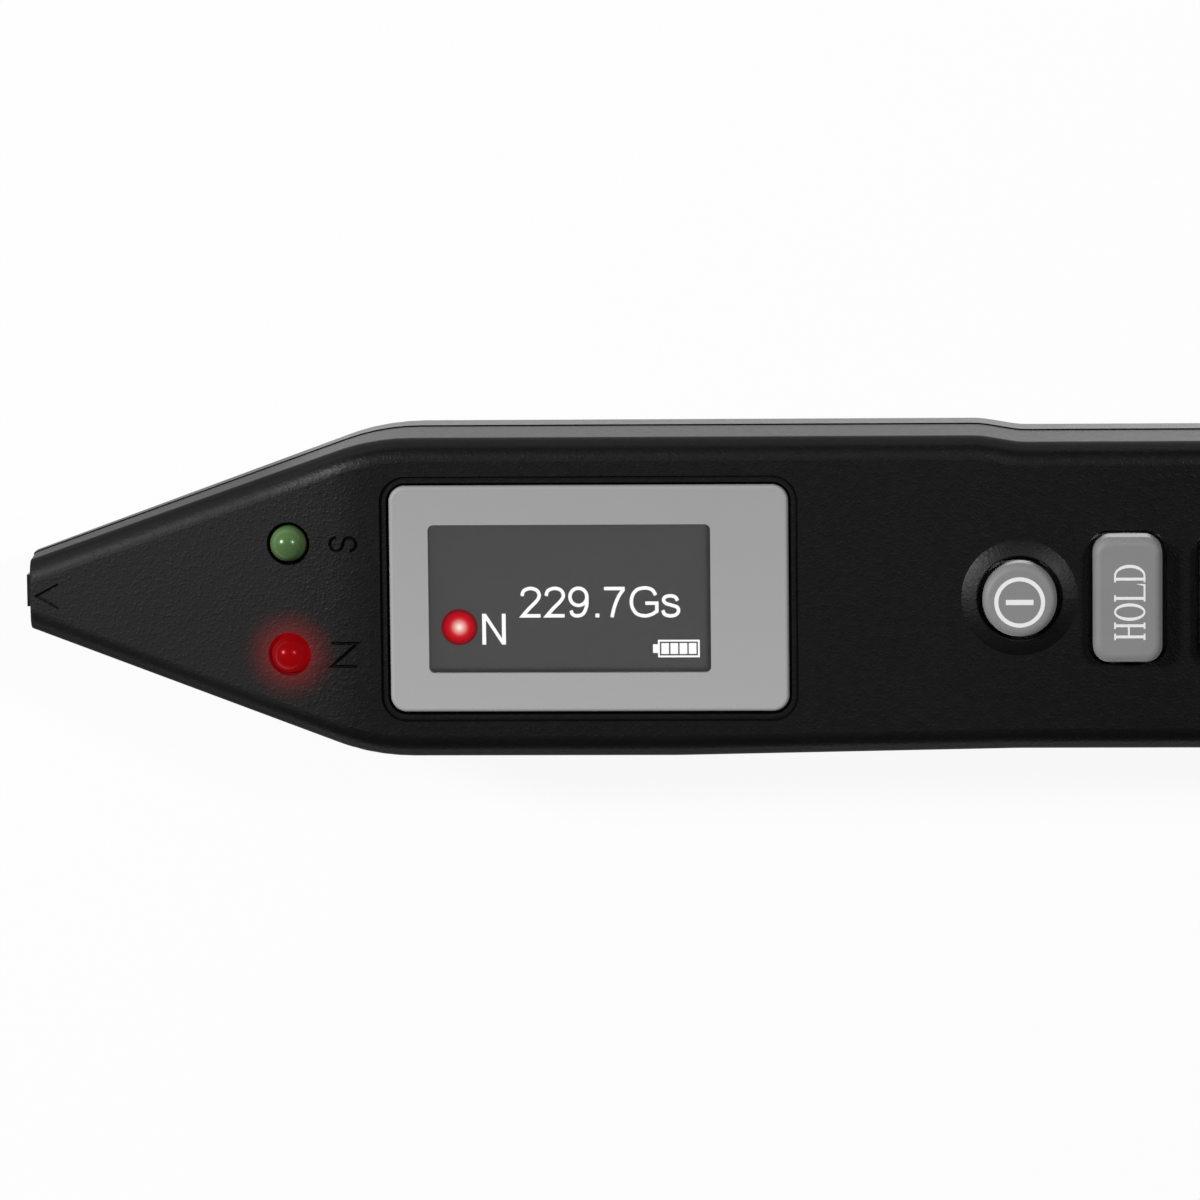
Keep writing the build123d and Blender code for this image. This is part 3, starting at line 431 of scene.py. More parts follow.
moulded_plastic("tip_black", (grey(0.010), grey(0.014)), (0.30, 0.36), pebble=0.15, depth=0.006)
moulded_plastic("moulded_white", (grey(0.72), grey(0.78)), (0.40, 0.50), pebble=0.15, depth=0.004)
moulded_plastic("foam_black", (grey(0.010), grey(0.018)), (0.85, 0.95), pebble=0.10, depth=0.050)
moulded_plastic(
    "chip_black", (grey(0.014), grey(0.020)), (0.50, 0.60), pebble=0.06, depth=0.004, patch=2.0
)

tree, shader = moulded_plastic(
    "bezel_grey", (grey(0.365), grey(0.375)), (0.50, 0.55), pebble=0.12, depth=0.003
)
bezel_low, bezel_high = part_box("display_bezel")
bezel_half = (bezel_high.y - bezel_low.y) / 2
# painted light: a ramp across the bezel makes its near side paler
painted_light_side = ramp_between(tree, coordinates(tree)["Y"], bezel_half, -bezel_half)
bezel_far = shader.inputs["Base Color"].links[0].from_socket
tree.links.new(mix_colour(tree, painted_light_side, bezel_far, bezel_painted_light), shader.inputs["Base Color"])

tree, shader = moulded_plastic(
    "key_grey", (grey(0.235), grey(0.25)), (0.52, 0.60), pebble=0.10, depth=0.004, patch=4.0
)
shader.inputs["Sheen Weight"].default_value = key_sheen
print("plastic finishes:", sorted(finishes))

# %% [markdown]
# ## Light spilling from the lit lamp
# The red lamp is on, and its light runs out over the black plastic around it for about the lamp's
# own width. A renderer could bounce that light by itself, but on near-black plastic it would need a
# blinding lamp. So the front shell gets a finish of its own: the same black, plus a faint red glow
# that fades with the distance from the lamp's axis, fast at first and then slowly.

# %% Front shell finish
flatten = (1.0, 1.0, 0.0)
spill_start = 1.5 * MM
spill_end = 4.3 * MM
spill_colour = (0.125, 0.002, 0.003, 1.0)


def distance_from_axis(tree, centre):
    """How far a point is from an upright line through the centre, in metres."""
    place = add_node(tree, "ShaderNodeTexCoord").outputs["Object"]
    flat = add_node(tree, "ShaderNodeVectorMath", {0: place, 1: flatten}, operation="MULTIPLY").outputs[0]
    axis = (centre.x, centre.y, 0.0)
    return add_node(tree, "ShaderNodeVectorMath", {0: flat, 1: axis}, operation="DISTANCE").outputs["Value"]


def middle(node):
    low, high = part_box(node)
    return (low + high) / 2


front_tree, front_shader = black_case("case_black_lit")
from_lamp = distance_from_axis(front_tree, middle("led_north"))
reach = ramp_between(front_tree, from_lamp, spill_start, spill_end, 1.0, 0.0)
spill = mix_colour(front_tree, calc(front_tree, "MULTIPLY", reach, reach), grey(0.0), spill_colour)
front_tree.links.new(spill, front_shader.inputs["Emission Color"])
front_shader.inputs["Emission Strength"].default_value = 1.0
print("red light spills out to", round(spill_end / MM, 1), "mm from the lamp's axis")

# %% [markdown]
# ## The collar and the engraved letters
# The sloping collar around the power key is duller than the face, because thumbs rub it, so the
# roughness is raised near the key's axis. The mould's grain doesn't reach the floors of the engraved
# letters, so they are smoother and look darker. A second material on those faces would do, but the
# mesh is the CAD model's own and stays as it is. So ambient occlusion, which tells how much open sky
# a point sees, finds the floors.

# %% Collar and engraved letters
collar_full = 4.4 * MM
collar_end = 4.8 * MM
collar_dulling = 0.08
groove_reach = 0.4 * MM
groove_openness = (0.65, 0.90)
groove_polish = -0.22

from_key = distance_from_axis(front_tree, middle("power_button"))
rubbed = ramp_between(front_tree, from_key, collar_full, collar_end, collar_dulling, 0.0, smooth=True)
open_sky = add_node(
    front_tree, "ShaderNodeAmbientOcclusion", {"Distance": groove_reach}, only_local=True
).outputs["AO"]
sunk = ramp_between(front_tree, open_sky, *groove_openness, groove_polish, 0.0)
add_to_roughness(front_tree, front_shader, sunk, rubbed)
print("the collar is dull out to", round(collar_end / MM, 1), "mm from the key's axis")

# %% [markdown]
# ## The two lamps
# Both lamps are the common 3 mm kind, cast in tinted, slightly cloudy resin. The green one is off
# and shows the resin's own colour, with a paler rim that is painted light, standing in for light
# scattered inside the resin. The red one is lit from within, brightest where we look down its axis
# and darker at the rim. Light scattered in a volume would show that too, but slowly, so here the
# colour simply changes with the distance from the axis. The resin is fairly smooth, so each lamp
# shows the two softboxes as soft dots.

# %% Lamp finishes
resin_roughness = 0.22
rim_power = 2.0
cloud_patch = 1.0
cloud_share = 0.15


def lamp_resin(name, node, body, painted_rim, ior, glint, lit=None):
    tree, shader = new_finish(name)
    low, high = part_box(node)
    radius = (high.y - low.y) / 2
    outward = calc(tree, "DIVIDE", distance_from_axis(tree, middle(node)), radius)
    outward = calc(tree, "POWER", outward, rim_power, clamp=True)
    patches = add_group(tree, handling_group, Patch_mm=cloud_patch)["Patches"]
    cloud = calc(tree, "MULTIPLY", patches, cloud_share)
    outward = calc(tree, "ADD", outward, cloud, clamp=True)
    # painted light: the base colour runs from body to rim, and the green lamp's rim is paler
    tree.links.new(mix_colour(tree, outward, body, painted_rim), shader.inputs["Base Color"])
    shader.inputs["Roughness"].default_value = resin_roughness
    shader.inputs["IOR"].default_value = ior
    shader.inputs["Specular Tint"].default_value = glint
    if lit:
        tree.links.new(mix_colour(tree, outward, *lit), shader.inputs["Emission Color"])
        shader.inputs["Emission Strength"].default_value = 1.0
    print("made", name)


# the green lamp's paler rim is painted light, for light scattered inside the resin
lamp_resin(
    "lamp_green",
    "led_south",
    body=(0.076, 0.142, 0.052, 1.0),
    painted_rim=(0.140, 0.255, 0.098, 1.0),
    ior=1.50,
    glint=(0.75, 1.0, 0.70, 1.0),
)
lamp_resin(
    "lamp_red",
    "led_north",
    body=(0.060, 0.001, 0.002, 1.0),
    painted_rim=(0.040, 0.001, 0.001, 1.0),
    ior=1.36,
    glint=(1.0, 0.25, 0.25, 1.0),
    lit=((0.245, 0.001, 0.002, 1.0), (0.16, 0.001, 0.002, 1.0)),
)

# %% [markdown]
# ## The window and the screen behind it
# The window is a clear plate with flat faces. A shader that lets light straight through would be
# cheaper, but the plate is a real solid, so a transmitting one, which also reflects and bends light,
# is right for it, and a slight unevenness in its gloss is all that it needs. The screen behind is
# never fully black when it is on: its backlight leaks through as a dark grey, which stops just short
# of the window's edges. Its pixels are too small to model, so a grid of thin lines stands for them.
# The white marks on the screen have the same grid, so it is a group.

# %% Pixel grid group
pixel_pitch = 0.14
pixel_share = 0.85

pixel_group, source, result = start_group("pixel_grid", {"Pitch mm": pixel_pitch, "Depth": 0.06}, ["Tone"])
pitch = calc(pixel_group, "MULTIPLY", source["Pitch mm"], MM)
across = coordinates(pixel_group)
gaps = []
for axis in "XY":
    within = calc(pixel_group, "FRACT", calc(pixel_group, "DIVIDE", across[axis], pitch))
    gaps.append(calc(pixel_group, "GREATER_THAN", within, pixel_share))
darker = calc(pixel_group, "MULTIPLY", calc(pixel_group, "MAXIMUM", *gaps), source["Depth"])
pixel_group.links.new(calc(pixel_group, "SUBTRACT", 1.0, darker), result["Tone"])
print("made the group", pixel_group.name)

# %% Window finish
window_patch = 6.0
window_gloss = (0.02, 0.05)
window_ior = 1.49

tree, shader = new_finish("clear_window")
patches = add_group(tree, handling_group, Patch_mm=window_patch)["Patches"]
tree.links.new(ramp_between(tree, patches, 0.0, 1.0, *window_gloss), shader.inputs["Roughness"])
shader.inputs["Base Color"].default_value = grey(1.0)
shader.inputs["Transmission Weight"].default_value = 1.0
shader.inputs["IOR"].default_value = window_ior
print("the window's roughness lies between", *window_gloss)

# %% Screen finish
lit_low = Vector((-46.95, -5.85)) * MM
lit_high = Vector((-24.65, 5.95)) * MM
lit_softness = 0.25 * MM
backlight = grey(0.066)
backlight_edge = grey(0.030)
backlight_grid = 0.03
panel_black = grey(0.01)
panel_roughness = 0.3

tree, shader = new_finish("display_dark")
across = coordinates(tree)
mask = add_group(tree, pixel_group, Pitch_mm=pixel_pitch, Depth=backlight_grid)["Tone"]
for axis, low, high in zip("XY", lit_low, lit_high):
    rise = ramp_between(tree, across[axis], low - lit_softness, low + lit_softness, smooth=True)
    fall = ramp_between(tree, across[axis], high + lit_softness, high - lit_softness, smooth=True)
    mask = calc(tree, "MULTIPLY", mask, calc(tree, "MULTIPLY", rise, fall))
tree.links.new(mix_colour(tree, mask, backlight_edge, backlight), shader.inputs["Emission Color"])
shader.inputs["Emission Strength"].default_value = 1.0
shader.inputs["Base Color"].default_value = panel_black
shader.inputs["Roughness"].default_value = panel_roughness
print("screen glows from", list(lit_low / MM), "to", list(lit_high / MM))

# %% [markdown]
# ## Metal, a shared effect
# Leads, legs, screws, contacts and springs are plated steel, drawn or rolled in one direction, which
# leaves faint lines. An anisotropic shader would streak the gloss of such metal, but these pieces are
# so small that long thin noise, stretched along one axis, is enough. The cells' metal ends use it
# too, so it is a group.

# %% Drawn metal group and finish
line_width = 0.08
line_detail = 2.0
plate_tones = (grey(0.62), grey(0.72))
plate_gloss = (0.18, 0.32)
plate_patch = 2.5
plate_depth = 0.002 * MM

drawn_group, source, result = start_group(
    "drawn_lines", {"Line mm": line_width, "Stretch": 0.04}, ["Lines"]
)
place = add_node(drawn_group, "ShaderNodeTexCoord").outputs["Object"]
stretch = add_node(drawn_group, "ShaderNodeCombineXYZ", {"X": source["Stretch"], "Y": 1.0, "Z": 1.0})
along = add_node(
    drawn_group, "ShaderNodeVectorMath", {0: place, 1: stretch.outputs[0]}, operation="MULTIPLY"
)
per_metre = calc(drawn_group, "DIVIDE", 1 / MM, source["Line mm"])
noise = add_node(
    drawn_group,
    "ShaderNodeTexNoise",
    {"Vector": along.outputs[0], "Scale": per_metre, "Detail": line_detail},
)
drawn_group.links.new(noise.outputs["Fac"], result["Lines"])

tree, shader = new_finish("tinned_steel")
lines = add_group(tree, drawn_group, Line_mm=line_width)["Lines"]
patches = add_group(tree, handling_group, Patch_mm=plate_patch)["Patches"]
tree.links.new(mix_colour(tree, patches, *plate_tones), shader.inputs["Base Color"])
tree.links.new(ramp_between(tree, lines, *noise_span, *plate_gloss), shader.inputs["Roughness"])
bump = add_node(tree, "ShaderNodeBump", {"Height": lines, "Distance": plate_depth})
tree.links.new(bump.outputs["Normal"], shader.inputs["Normal"])
shader.inputs["Metallic"].default_value = 1.0
print("made the group", drawn_group.name, "and the plated steel")

# %% [markdown]
# ## Board, ribbon and capacitors
# The board has green lacquer over copper tracks, the ribbon cable is amber film over thin
# conductors, and the capacitors are fired clay. Tracks could be thin solids, but under lacquer they
# are only a shade and a slight step, so stripes in the finish are enough. The slow patches break the
# stripes up.

# %% Board, ribbon and capacitor finishes
track_pitch = 0.9 * MM
track_share = 0.62
track_softness = 0.06
track_breaks = (0.35, 0.45)
track_patch = 5.0
track_rise = 0.02 * MM
lacquer = (0.010, 0.075, 0.030, 1.0)
lacquer_on_copper = (0.022, 0.135, 0.052, 1.0)
amber = (0.45, 0.20, 0.035, 1.0)
amber_on_copper = (0.30, 0.12, 0.020, 1.0)
clay_tones = ((0.42, 0.29, 0.18, 1.0), (0.50, 0.36, 0.23, 1.0))


def striped_film(name, pitch, colours, roughness):
    tree, shader = new_finish(name)
    within = calc(tree, "FRACT", calc(tree, "DIVIDE", coordinates(tree)["Y"], pitch))
    stripe = ramp_between(tree, within, track_share, track_share + track_softness)
    handling = add_group(tree, handling_group, Patch_mm=track_patch)
    tracks = calc(tree, "MULTIPLY", stripe, ramp_between(tree, handling["Patches"], *track_breaks))
    tree.links.new(mix_colour(tree, tracks, *colours), shader.inputs["Base Color"])
    rough = ramp_between(tree, handling["Mottle"], 0.0, 1.0, *roughness)
    tree.links.new(rough, shader.inputs["Roughness"])
    bump = add_node(tree, "ShaderNodeBump", {"Height": tracks, "Distance": track_rise})
    tree.links.new(bump.outputs["Normal"], shader.inputs["Normal"])


striped_film("board_green", track_pitch, (lacquer, lacquer_on_copper), (0.25, 0.35))
striped_film("flex_amber", track_pitch / 2, (amber, amber_on_copper), (0.30, 0.38))
moulded_plastic("ceramic_tan", clay_tones, (0.45, 0.60), pebble=0.08, depth=0.004)
print("board, ribbon and capacitor finishes are ready")

# %% [markdown]
# ## The cells
# A cell is a steel can in a thin sleeve, which leaves both ends bare and has a pale band at one end.
# The sleeve could be a tube of its own, but it is no thicker than paper, so masks along the can tell
# sleeve, band and metal apart.

# %% Cell finish
sleeve_inset = 1.6 * MM
band_length = 9.0 * MM
sleeve_tone = (0.045, 0.055, 0.075, 1.0)
band_tone = (0.42, 0.44, 0.46, 1.0)
can_tones = (grey(0.62), grey(0.70))
can_gloss = (0.22, 0.34)
can_patch = 7.0
can_line = 0.10

cell_low, cell_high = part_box("battery_cell_left")
sleeve_start = cell_low.x + sleeve_inset
tree, shader = new_finish("cell_can")
along = coordinates(tree)["X"]
past_low = calc(tree, "GREATER_THAN", along, sleeve_start)
before_high = calc(tree, "LESS_THAN", along, cell_high.x - sleeve_inset)
sleeve = calc(tree, "MULTIPLY", past_low, before_high)
band = calc(tree, "LESS_THAN", along, sleeve_start + band_length)
patches = add_group(tree, handling_group, Patch_mm=can_patch)["Patches"]
lines = add_group(tree, drawn_group, Line_mm=can_line)["Lines"]
sleeve_colour = mix_colour(tree, band, sleeve_tone, band_tone)
metal_colour = mix_colour(tree, patches, *can_tones)
tree.links.new(mix_colour(tree, sleeve, metal_colour, sleeve_colour), shader.inputs["Base Color"])
tree.links.new(calc(tree, "SUBTRACT", 1.0, sleeve), shader.inputs["Metallic"])
tree.links.new(ramp_between(tree, lines, *noise_span, *can_gloss), shader.inputs["Roughness"])
print("cell sleeve starts at", round(sleeve_start / MM, 1), "mm")

# %% [markdown]
# ## Dress the pieces of the model
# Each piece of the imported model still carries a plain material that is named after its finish. We
# look that name up and put the real finish in its place, which is shorter than a list of pieces and
# can't miss one. The front shell alone takes the black with the red spill.

# %% Assign the finishes
for name, piece in nodes.items():
    finish = piece.data.materials[0].name.split(".")[0]
    if name == "front_case":
        finish = "case_black_lit"
    piece.data.materials[0] = finishes[finish]
    print(name, "is", finish)

# %% [markdown]
# ## Flat marks from strokes
# Printed and displayed marks are thin flat shapes. Blender's text objects would need a font, so we
# draw the marks ourselves: a pen stroke is a row of quads along a line, a smooth one follows a curve
# through a few points, and a ring is a band round an ellipse. We draw every mark in two plain
# numbers, across and up, and then lay it on its surface with a matrix, which also sets which way is
# up for the reader. Strokes overlap where they cross, so a Delaunay triangulation first cuts them
# into one sheet that covers each spot once. A film of ink has some thickness, so that sheet is then
# pushed up by a hair, which makes it a closed solid.

# %% Stroke helpers
mitre_limit = 0.35


def curve_through(points, steps=8):
    """Points along a smooth curve that passes through the given ones."""
    path = [Vector(p) for p in points]
    ends = [2 * path[0] - path[1]] + path + [2 * path[-1] - path[-2]]
    made = []
    for a, b, c, d in zip(ends, ends[1:], ends[2:], ends[3:]):
        bend = 2 * a - 5 * b + 4 * c - d
        twist = 3 * b - a - 3 * c + d
        for step in range(steps):
            t = step / steps
            made.append(0.5 * (2 * b + (c - a) * t + bend * t**2 + twist * t**3))
    return made + [path[-1]]


def stroke(points, width):
    """A pen stroke of even width, as a row of quads with mitred corners."""
    path = [Vector(p) for p in points]
    runs = [(b - a).normalized() for a, b in zip(path, path[1:])]
    sides = []
    for before, after in zip([runs[0]] + runs, runs + [runs[-1]]):
        normal = Vector((-before.y - after.y, before.x + after.x)).normalized()
        reach = width / 2 / max(mitre_limit, normal.dot(Vector((-after.y, after.x))))
        sides.append(normal * reach)
    return [[a - m, b - n, b + n, a + m] for a, b, m, n in zip(path, path[1:], sides, sides[1:])]


def patch(*corners):
    return [[Vector(corner) for corner in corners]]


def slab(left, bottom, right, top):
    return patch((left, bottom), (right, bottom), (right, top), (left, top))


def disc(radius, steps=48):
    angles = [math.tau * step / steps for step in range(steps)]
    return patch(*[(radius * math.cos(angle), radius * math.sin(angle)) for angle in angles])


def ring(centre, outer, inner, start=0.0, turn=360.0, steps=48):
    """The band between two ellipses, or a part of it; angles run anticlockwise, in degrees."""
    spokes = []
    for step in range(steps + 1):
        angle = math.radians(start + turn * step / steps)
        spoke = Vector((math.cos(angle), math.sin(angle)))
        spokes.append([Vector(centre) + Vector((r[0] * spoke.x, r[1] * spoke.y)) for r in (inner, outer)])
    return [[a[0], a[1], b[1], b[0]] for a, b in zip(spokes, spokes[1:])]


def moved(shapes, x, y):
    return [[corner + Vector((x, y)) for corner in face] for face in shapes]


print("stroke helpers are ready")

# %% Lay a mark on a surface
weld_digits = 4
weld_length = 0.001 * MM
whole_hull = 0  # the triangulation fills the hull of all points, and we keep what a shape covers


def anticlockwise(corners):
    area = sum(a.cross(b) for a, b in zip(corners, corners[1:] + corners[:1]))
    return corners if area > 0 else corners[::-1]


def joined_sheet(shapes):
    """Points and triangles of one sheet that covers the overlapping shapes once."""
    places = {}
    faces = []
    for corners in shapes:
        spots = [(round(c.x, weld_digits), round(c.y, weld_digits)) for c in anticlockwise(corners)]
        faces.append([places.setdefault(spot, len(places)) for spot in spots])
    points = [Vector(spot) for spot in places]
    cut = delaunay_2d_cdt(points, [], faces, whole_hull, 0.1**weld_digits)
    points, _, triangles, _, _, covered_by = cut
    return points, [triangle for triangle, cover in zip(triangles, covered_by) if cover]


def lay_mark(name, shapes, place, thickness, finish, body):
    points, triangles = joined_sheet(shapes)
    builder = bmesh.new()
    corners = [builder.verts.new(place @ Vector((point.x, point.y, 0.0))) for point in points]
    for triangle in triangles:
        builder.faces.new([corners[index] for index in triangle])
    loose = [corner for corner in corners if not corner.link_faces]
    bmesh.ops.delete(builder, geom=loose, context="VERTS")
    bmesh.ops.remove_doubles(builder, verts=builder.verts, dist=weld_length)
    lift = (place.to_3x3() @ Vector((0, 0, 1))).normalized() * thickness
    grown = bmesh.ops.extrude_face_region(builder, geom=list(builder.faces))
    raised = [item for item in grown["geom"] if isinstance(item, bmesh.types.BMVert)]
    bmesh.ops.translate(builder, verts=raised, vec=lift)
    bmesh.ops.recalc_face_normals(builder, faces=builder.faces)
    mesh = bpy.data.meshes.new(name)
    builder.to_mesh(mesh)
    builder.free()
    mesh.materials.append(finishes[finish])
    piece = bpy.data.objects.new(name, mesh)
    collection.objects.link(piece)
    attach(piece, body)
    print("laid", name, "with", len(mesh.polygons), "faces on", body)


def across_and_up(origin, across, up, unit=1.0):
    """A matrix that lays a drawing along two directions; unit is its scale in millimetres."""
    turn = Matrix((across, up, across.cross(up))).transposed().to_4x4()
    return Matrix.Translation(origin) @ turn @ Matrix.Scale(unit * MM, 4)


print("marks are welded at", weld_length / MM, "mm")

# %% [markdown]
# ## White ink on the keys
# The keys are pad-printed: a ring with a bar on the round one, and a word in a narrow face with
# serifs on the long ones, to be read with the nose pointing up. A mask in the keys' finish could
# show the ink, but a film of its own keeps its edges sharp from close by. The marks sit a touch off
# the keys' centres, as printing does. Ink on soft plastic is never quite even, so its white is
# mottled a little.

# %% Ink finish
ink_tones = (grey(0.88), grey(0.95))
ink_gloss = (0.45, 0.6)
ink_patch = 1.5
ink_thickness = 0.012 * MM
print_shift = -0.16 * MM
reading_x = Vector((1, 0, 0))
reading_y = Vector((0, 1, 0))

tree, shader = new_finish("white_ink")
handling = add_group(tree, handling_group, Patch_mm=ink_patch)
tree.links.new(mix_colour(tree, handling["Mottle"], *ink_tones), shader.inputs["Base Color"])
tree.links.new(ramp_between(tree, handling["Patches"], 0.0, 1.0, *ink_gloss), shader.inputs["Roughness"])


def print_on_key(key, mark, shapes, shift, across, up):
    low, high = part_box(key + "_button")
    centre = Vector(((low.x + high.x) / 2 + shift, (low.y + high.y) / 2 + print_shift, high.z))
    place = across_and_up(centre, across, up)
    lay_mark(mark, shapes, place, ink_thickness, "white_ink", key + "_key")


print("the ink is", ink_thickness / MM, "mm thick")

# %% Power mark
ring_radius = 2.02
ring_line = 0.33
bar_length = 2.2
bar_line = 0.42

ring_inside = ring_radius - ring_line
power_shapes = ring((0, 0), (ring_radius, ring_radius), (ring_inside, ring_inside))
power_shapes += slab(-bar_length / 2, -bar_line / 2, bar_length / 2, bar_line / 2)
print_on_key("power", "power_mark", power_shapes, 0.0, reading_x, reading_y)

# %% [markdown]
# ## Letters with serifs
# The words HOLD and ZERO need seven letters, with thick upright stems that end in small serifs, thin
# hairlines, and bows that swell a little past a stem's width. Each letter could be one outline, drawn
# point by point. Built from the same few parts they match each other, and changing one size changes
# them all.

# %% Letter parts
cap_height = 2.48
letter_width = 1.40
narrow_width = letter_width - 0.1
letter_step = 1.54
stem = 0.23
hair = 0.15
serif = 0.14
bow = 1.1 * stem
word_shift = 0.16 * MM

first_stem = stem / 2 + serif
past_serif = first_stem + stem / 2 + serif
top_line = cap_height - hair
right_half = {"start": -90, "turn": 180, "steps": 24}


def stem_with_serifs(x):
    shapes = slab(x - stem / 2, hair, x + stem / 2, top_line)
    for low in (0.0, top_line):
        shapes += slab(x - stem / 2 - serif, low, x + stem / 2 + serif, low + hair)
    return shapes


def beak(x, base, width, tip):
    """A hairline's pointed end, with an upright side at x; tip is a share of the letter's height."""
    return patch((x - width, base), (x, base), (x, tip * cap_height))


print("letters are", cap_height, "mm high")

# %% Letters
def letter_h():
    last_stem = letter_width - first_stem
    bar = 0.53 * cap_height
    crossbar = slab(first_stem + stem / 2, bar - hair / 2, last_stem - stem / 2, bar + hair / 2)
    return stem_with_serifs(first_stem) + stem_with_serifs(last_stem) + crossbar


def letter_o():
    centre = (letter_width / 2, cap_height / 2)
    return ring(centre, centre, (centre[0] - bow, centre[1] - hair))


def letter_l():
    foot = slab(past_serif, 0.0, letter_width, hair)
    return stem_with_serifs(first_stem) + foot + beak(letter_width, hair, hair, tip=0.30)


def letter_d():
    outer = (letter_width - past_serif, cap_height / 2)
    inner = (outer[0] - bow, outer[1] - hair)
    return stem_with_serifs(first_stem) + ring((past_serif, cap_height / 2), outer, inner, **right_half)


def letter_z():
    left = 0.08
    right = letter_width - left
    width = 1.3 * stem
    bars = slab(left, 0.0, right, hair) + slab(left, top_line, right, cap_height)
    slant = patch((left, hair), (left + width, hair), (right, top_line), (right - width, top_line))
    return bars + slant + beak(right, hair, hair, tip=0.28) + beak(left, top_line, -hair, tip=0.72)


def letter_e():
    tongue = letter_width - 0.35
    bar = 0.5 * cap_height
    shapes = stem_with_serifs(first_stem) + slab(first_stem + stem / 2, bar, tongue, bar + hair)
    for low in (0.0, top_line):
        shapes += slab(past_serif, low, narrow_width, low + hair)
    beaks = beak(narrow_width, hair, hair, tip=0.26) + beak(narrow_width, top_line, hair, tip=0.76)
    return shapes + beaks


def letter_r():
    bowl_height = 0.26 * cap_height
    outer = (narrow_width - past_serif, bowl_height)
    inner = (outer[0] - bow, bowl_height - hair)
    bowl = ring((past_serif, cap_height - bowl_height), outer, inner, **right_half)
    waist = cap_height - 2 * bowl_height
    join = slab(first_stem + stem / 2, waist, past_serif, waist + hair)
    hip = waist + hair / 2
    foot = letter_width - 1.2 * stem
    leg = patch((past_serif, hip), (foot, 0.0), (letter_width, 0.0), (past_serif + bow, hip))
    return stem_with_serifs(first_stem) + bowl + join + leg


letters = {
    "H": letter_h(),
    "O": letter_o(),
    "L": letter_l(),
    "D": letter_d(),
    "Z": letter_z(),
    "E": letter_e(),
    "R": letter_r(),
}
print("drew the letters", *letters)

# %% Key words
def word_shapes(word):
    length = letter_step * (len(word) - 1) + letter_width
    shapes = []
    for index, letter in enumerate(word):
        shapes += moved(letters[letter], index * letter_step - length / 2, -cap_height / 2)
    return shapes


for word, key in (("HOLD", "hold"), ("ZERO", "zero")):
    print_on_key(key, key + "_word", word_shapes(word), word_shift, reading_y, -reading_x)

# %% [markdown]
# ## What the screen shows
# The screen gives a reading in plain upright strokes, the pole that the sensor faces, a red ball for
# that pole's lamp, and a full battery. They are pixels that give off light, and lie behind the
# window. So their finish is an emission with hardly any surface of its own, a little stronger than
# plain white because the window takes some of it away. The white marks carry the pixel grid, and the
# ball has its own shading from a pale middle to a dark rim. A picture on the panel could show all
# this, but thin pieces stay sharp and need no file. Each digit is a few strokes, drawn one unit
# high, so that one size sets them all.

# %% Screen light
screen_strength = 1.1
screen_black = grey(0.004)
mark_grid = 0.04


def screen_light(name):
    tree, shader = new_finish(name)
    shader.inputs["Emission Strength"].default_value = screen_strength
    shader.inputs["Base Color"].default_value = screen_black
    shader.inputs["Specular IOR Level"].default_value = 0.0
    return tree, shader


tree, shader = screen_light("screen_white")
pixels = add_group(tree, pixel_group, Pitch_mm=pixel_pitch, Depth=mark_grid)["Tone"]
tree.links.new(mix_colour(tree, pixels, grey(0.0), grey(1.0)), shader.inputs["Emission Color"])
print("screen marks glow at", screen_strength)

# %% Ball finish
ball_place = (-44.56, -2.48)
ball_radius = 1.46
ball_tones = {
    0.06: (0.98, 0.78, 0.70, 1.0),
    0.28: (0.76, 0.30, 0.27, 1.0),
    0.48: (0.58, 0.030, 0.040, 1.0),
    0.62: (0.50, 0.003, 0.010, 1.0),
    0.76: (0.42, 0.003, 0.010, 1.0),
    0.88: (0.24, 0.003, 0.008, 1.0),
    1.00: (0.09, 0.003, 0.006, 1.0),
}

tree, shader = screen_light("screen_red")
from_middle = distance_from_axis(tree, Vector((*ball_place, 0.0)) * MM)
outward = calc(tree, "DIVIDE", from_middle, ball_radius * MM)
shading = add_node(tree, "ShaderNodeValToRGB", {"Fac": outward})
stops = shading.color_ramp.elements
stops.remove(stops[0])
stops[0].position = max(ball_tones)
for outer_share in sorted(ball_tones)[:-1]:
    stops.new(outer_share)
for stop, tone in zip(stops, ball_tones.values()):
    stop.color = tone
tree.links.new(shading.outputs["Color"], shader.inputs["Emission Color"])
print("the ball's shading has", len(stops), "stops")

# %% Digits and letters of the reading
pen = 0.112
post = 1.1 * pen


def pen_stroke(curve, straight=()):
    """A stroke along a smooth curve, and then straight on through any further points."""
    return stroke(curve_through(curve) + list(straight), pen)


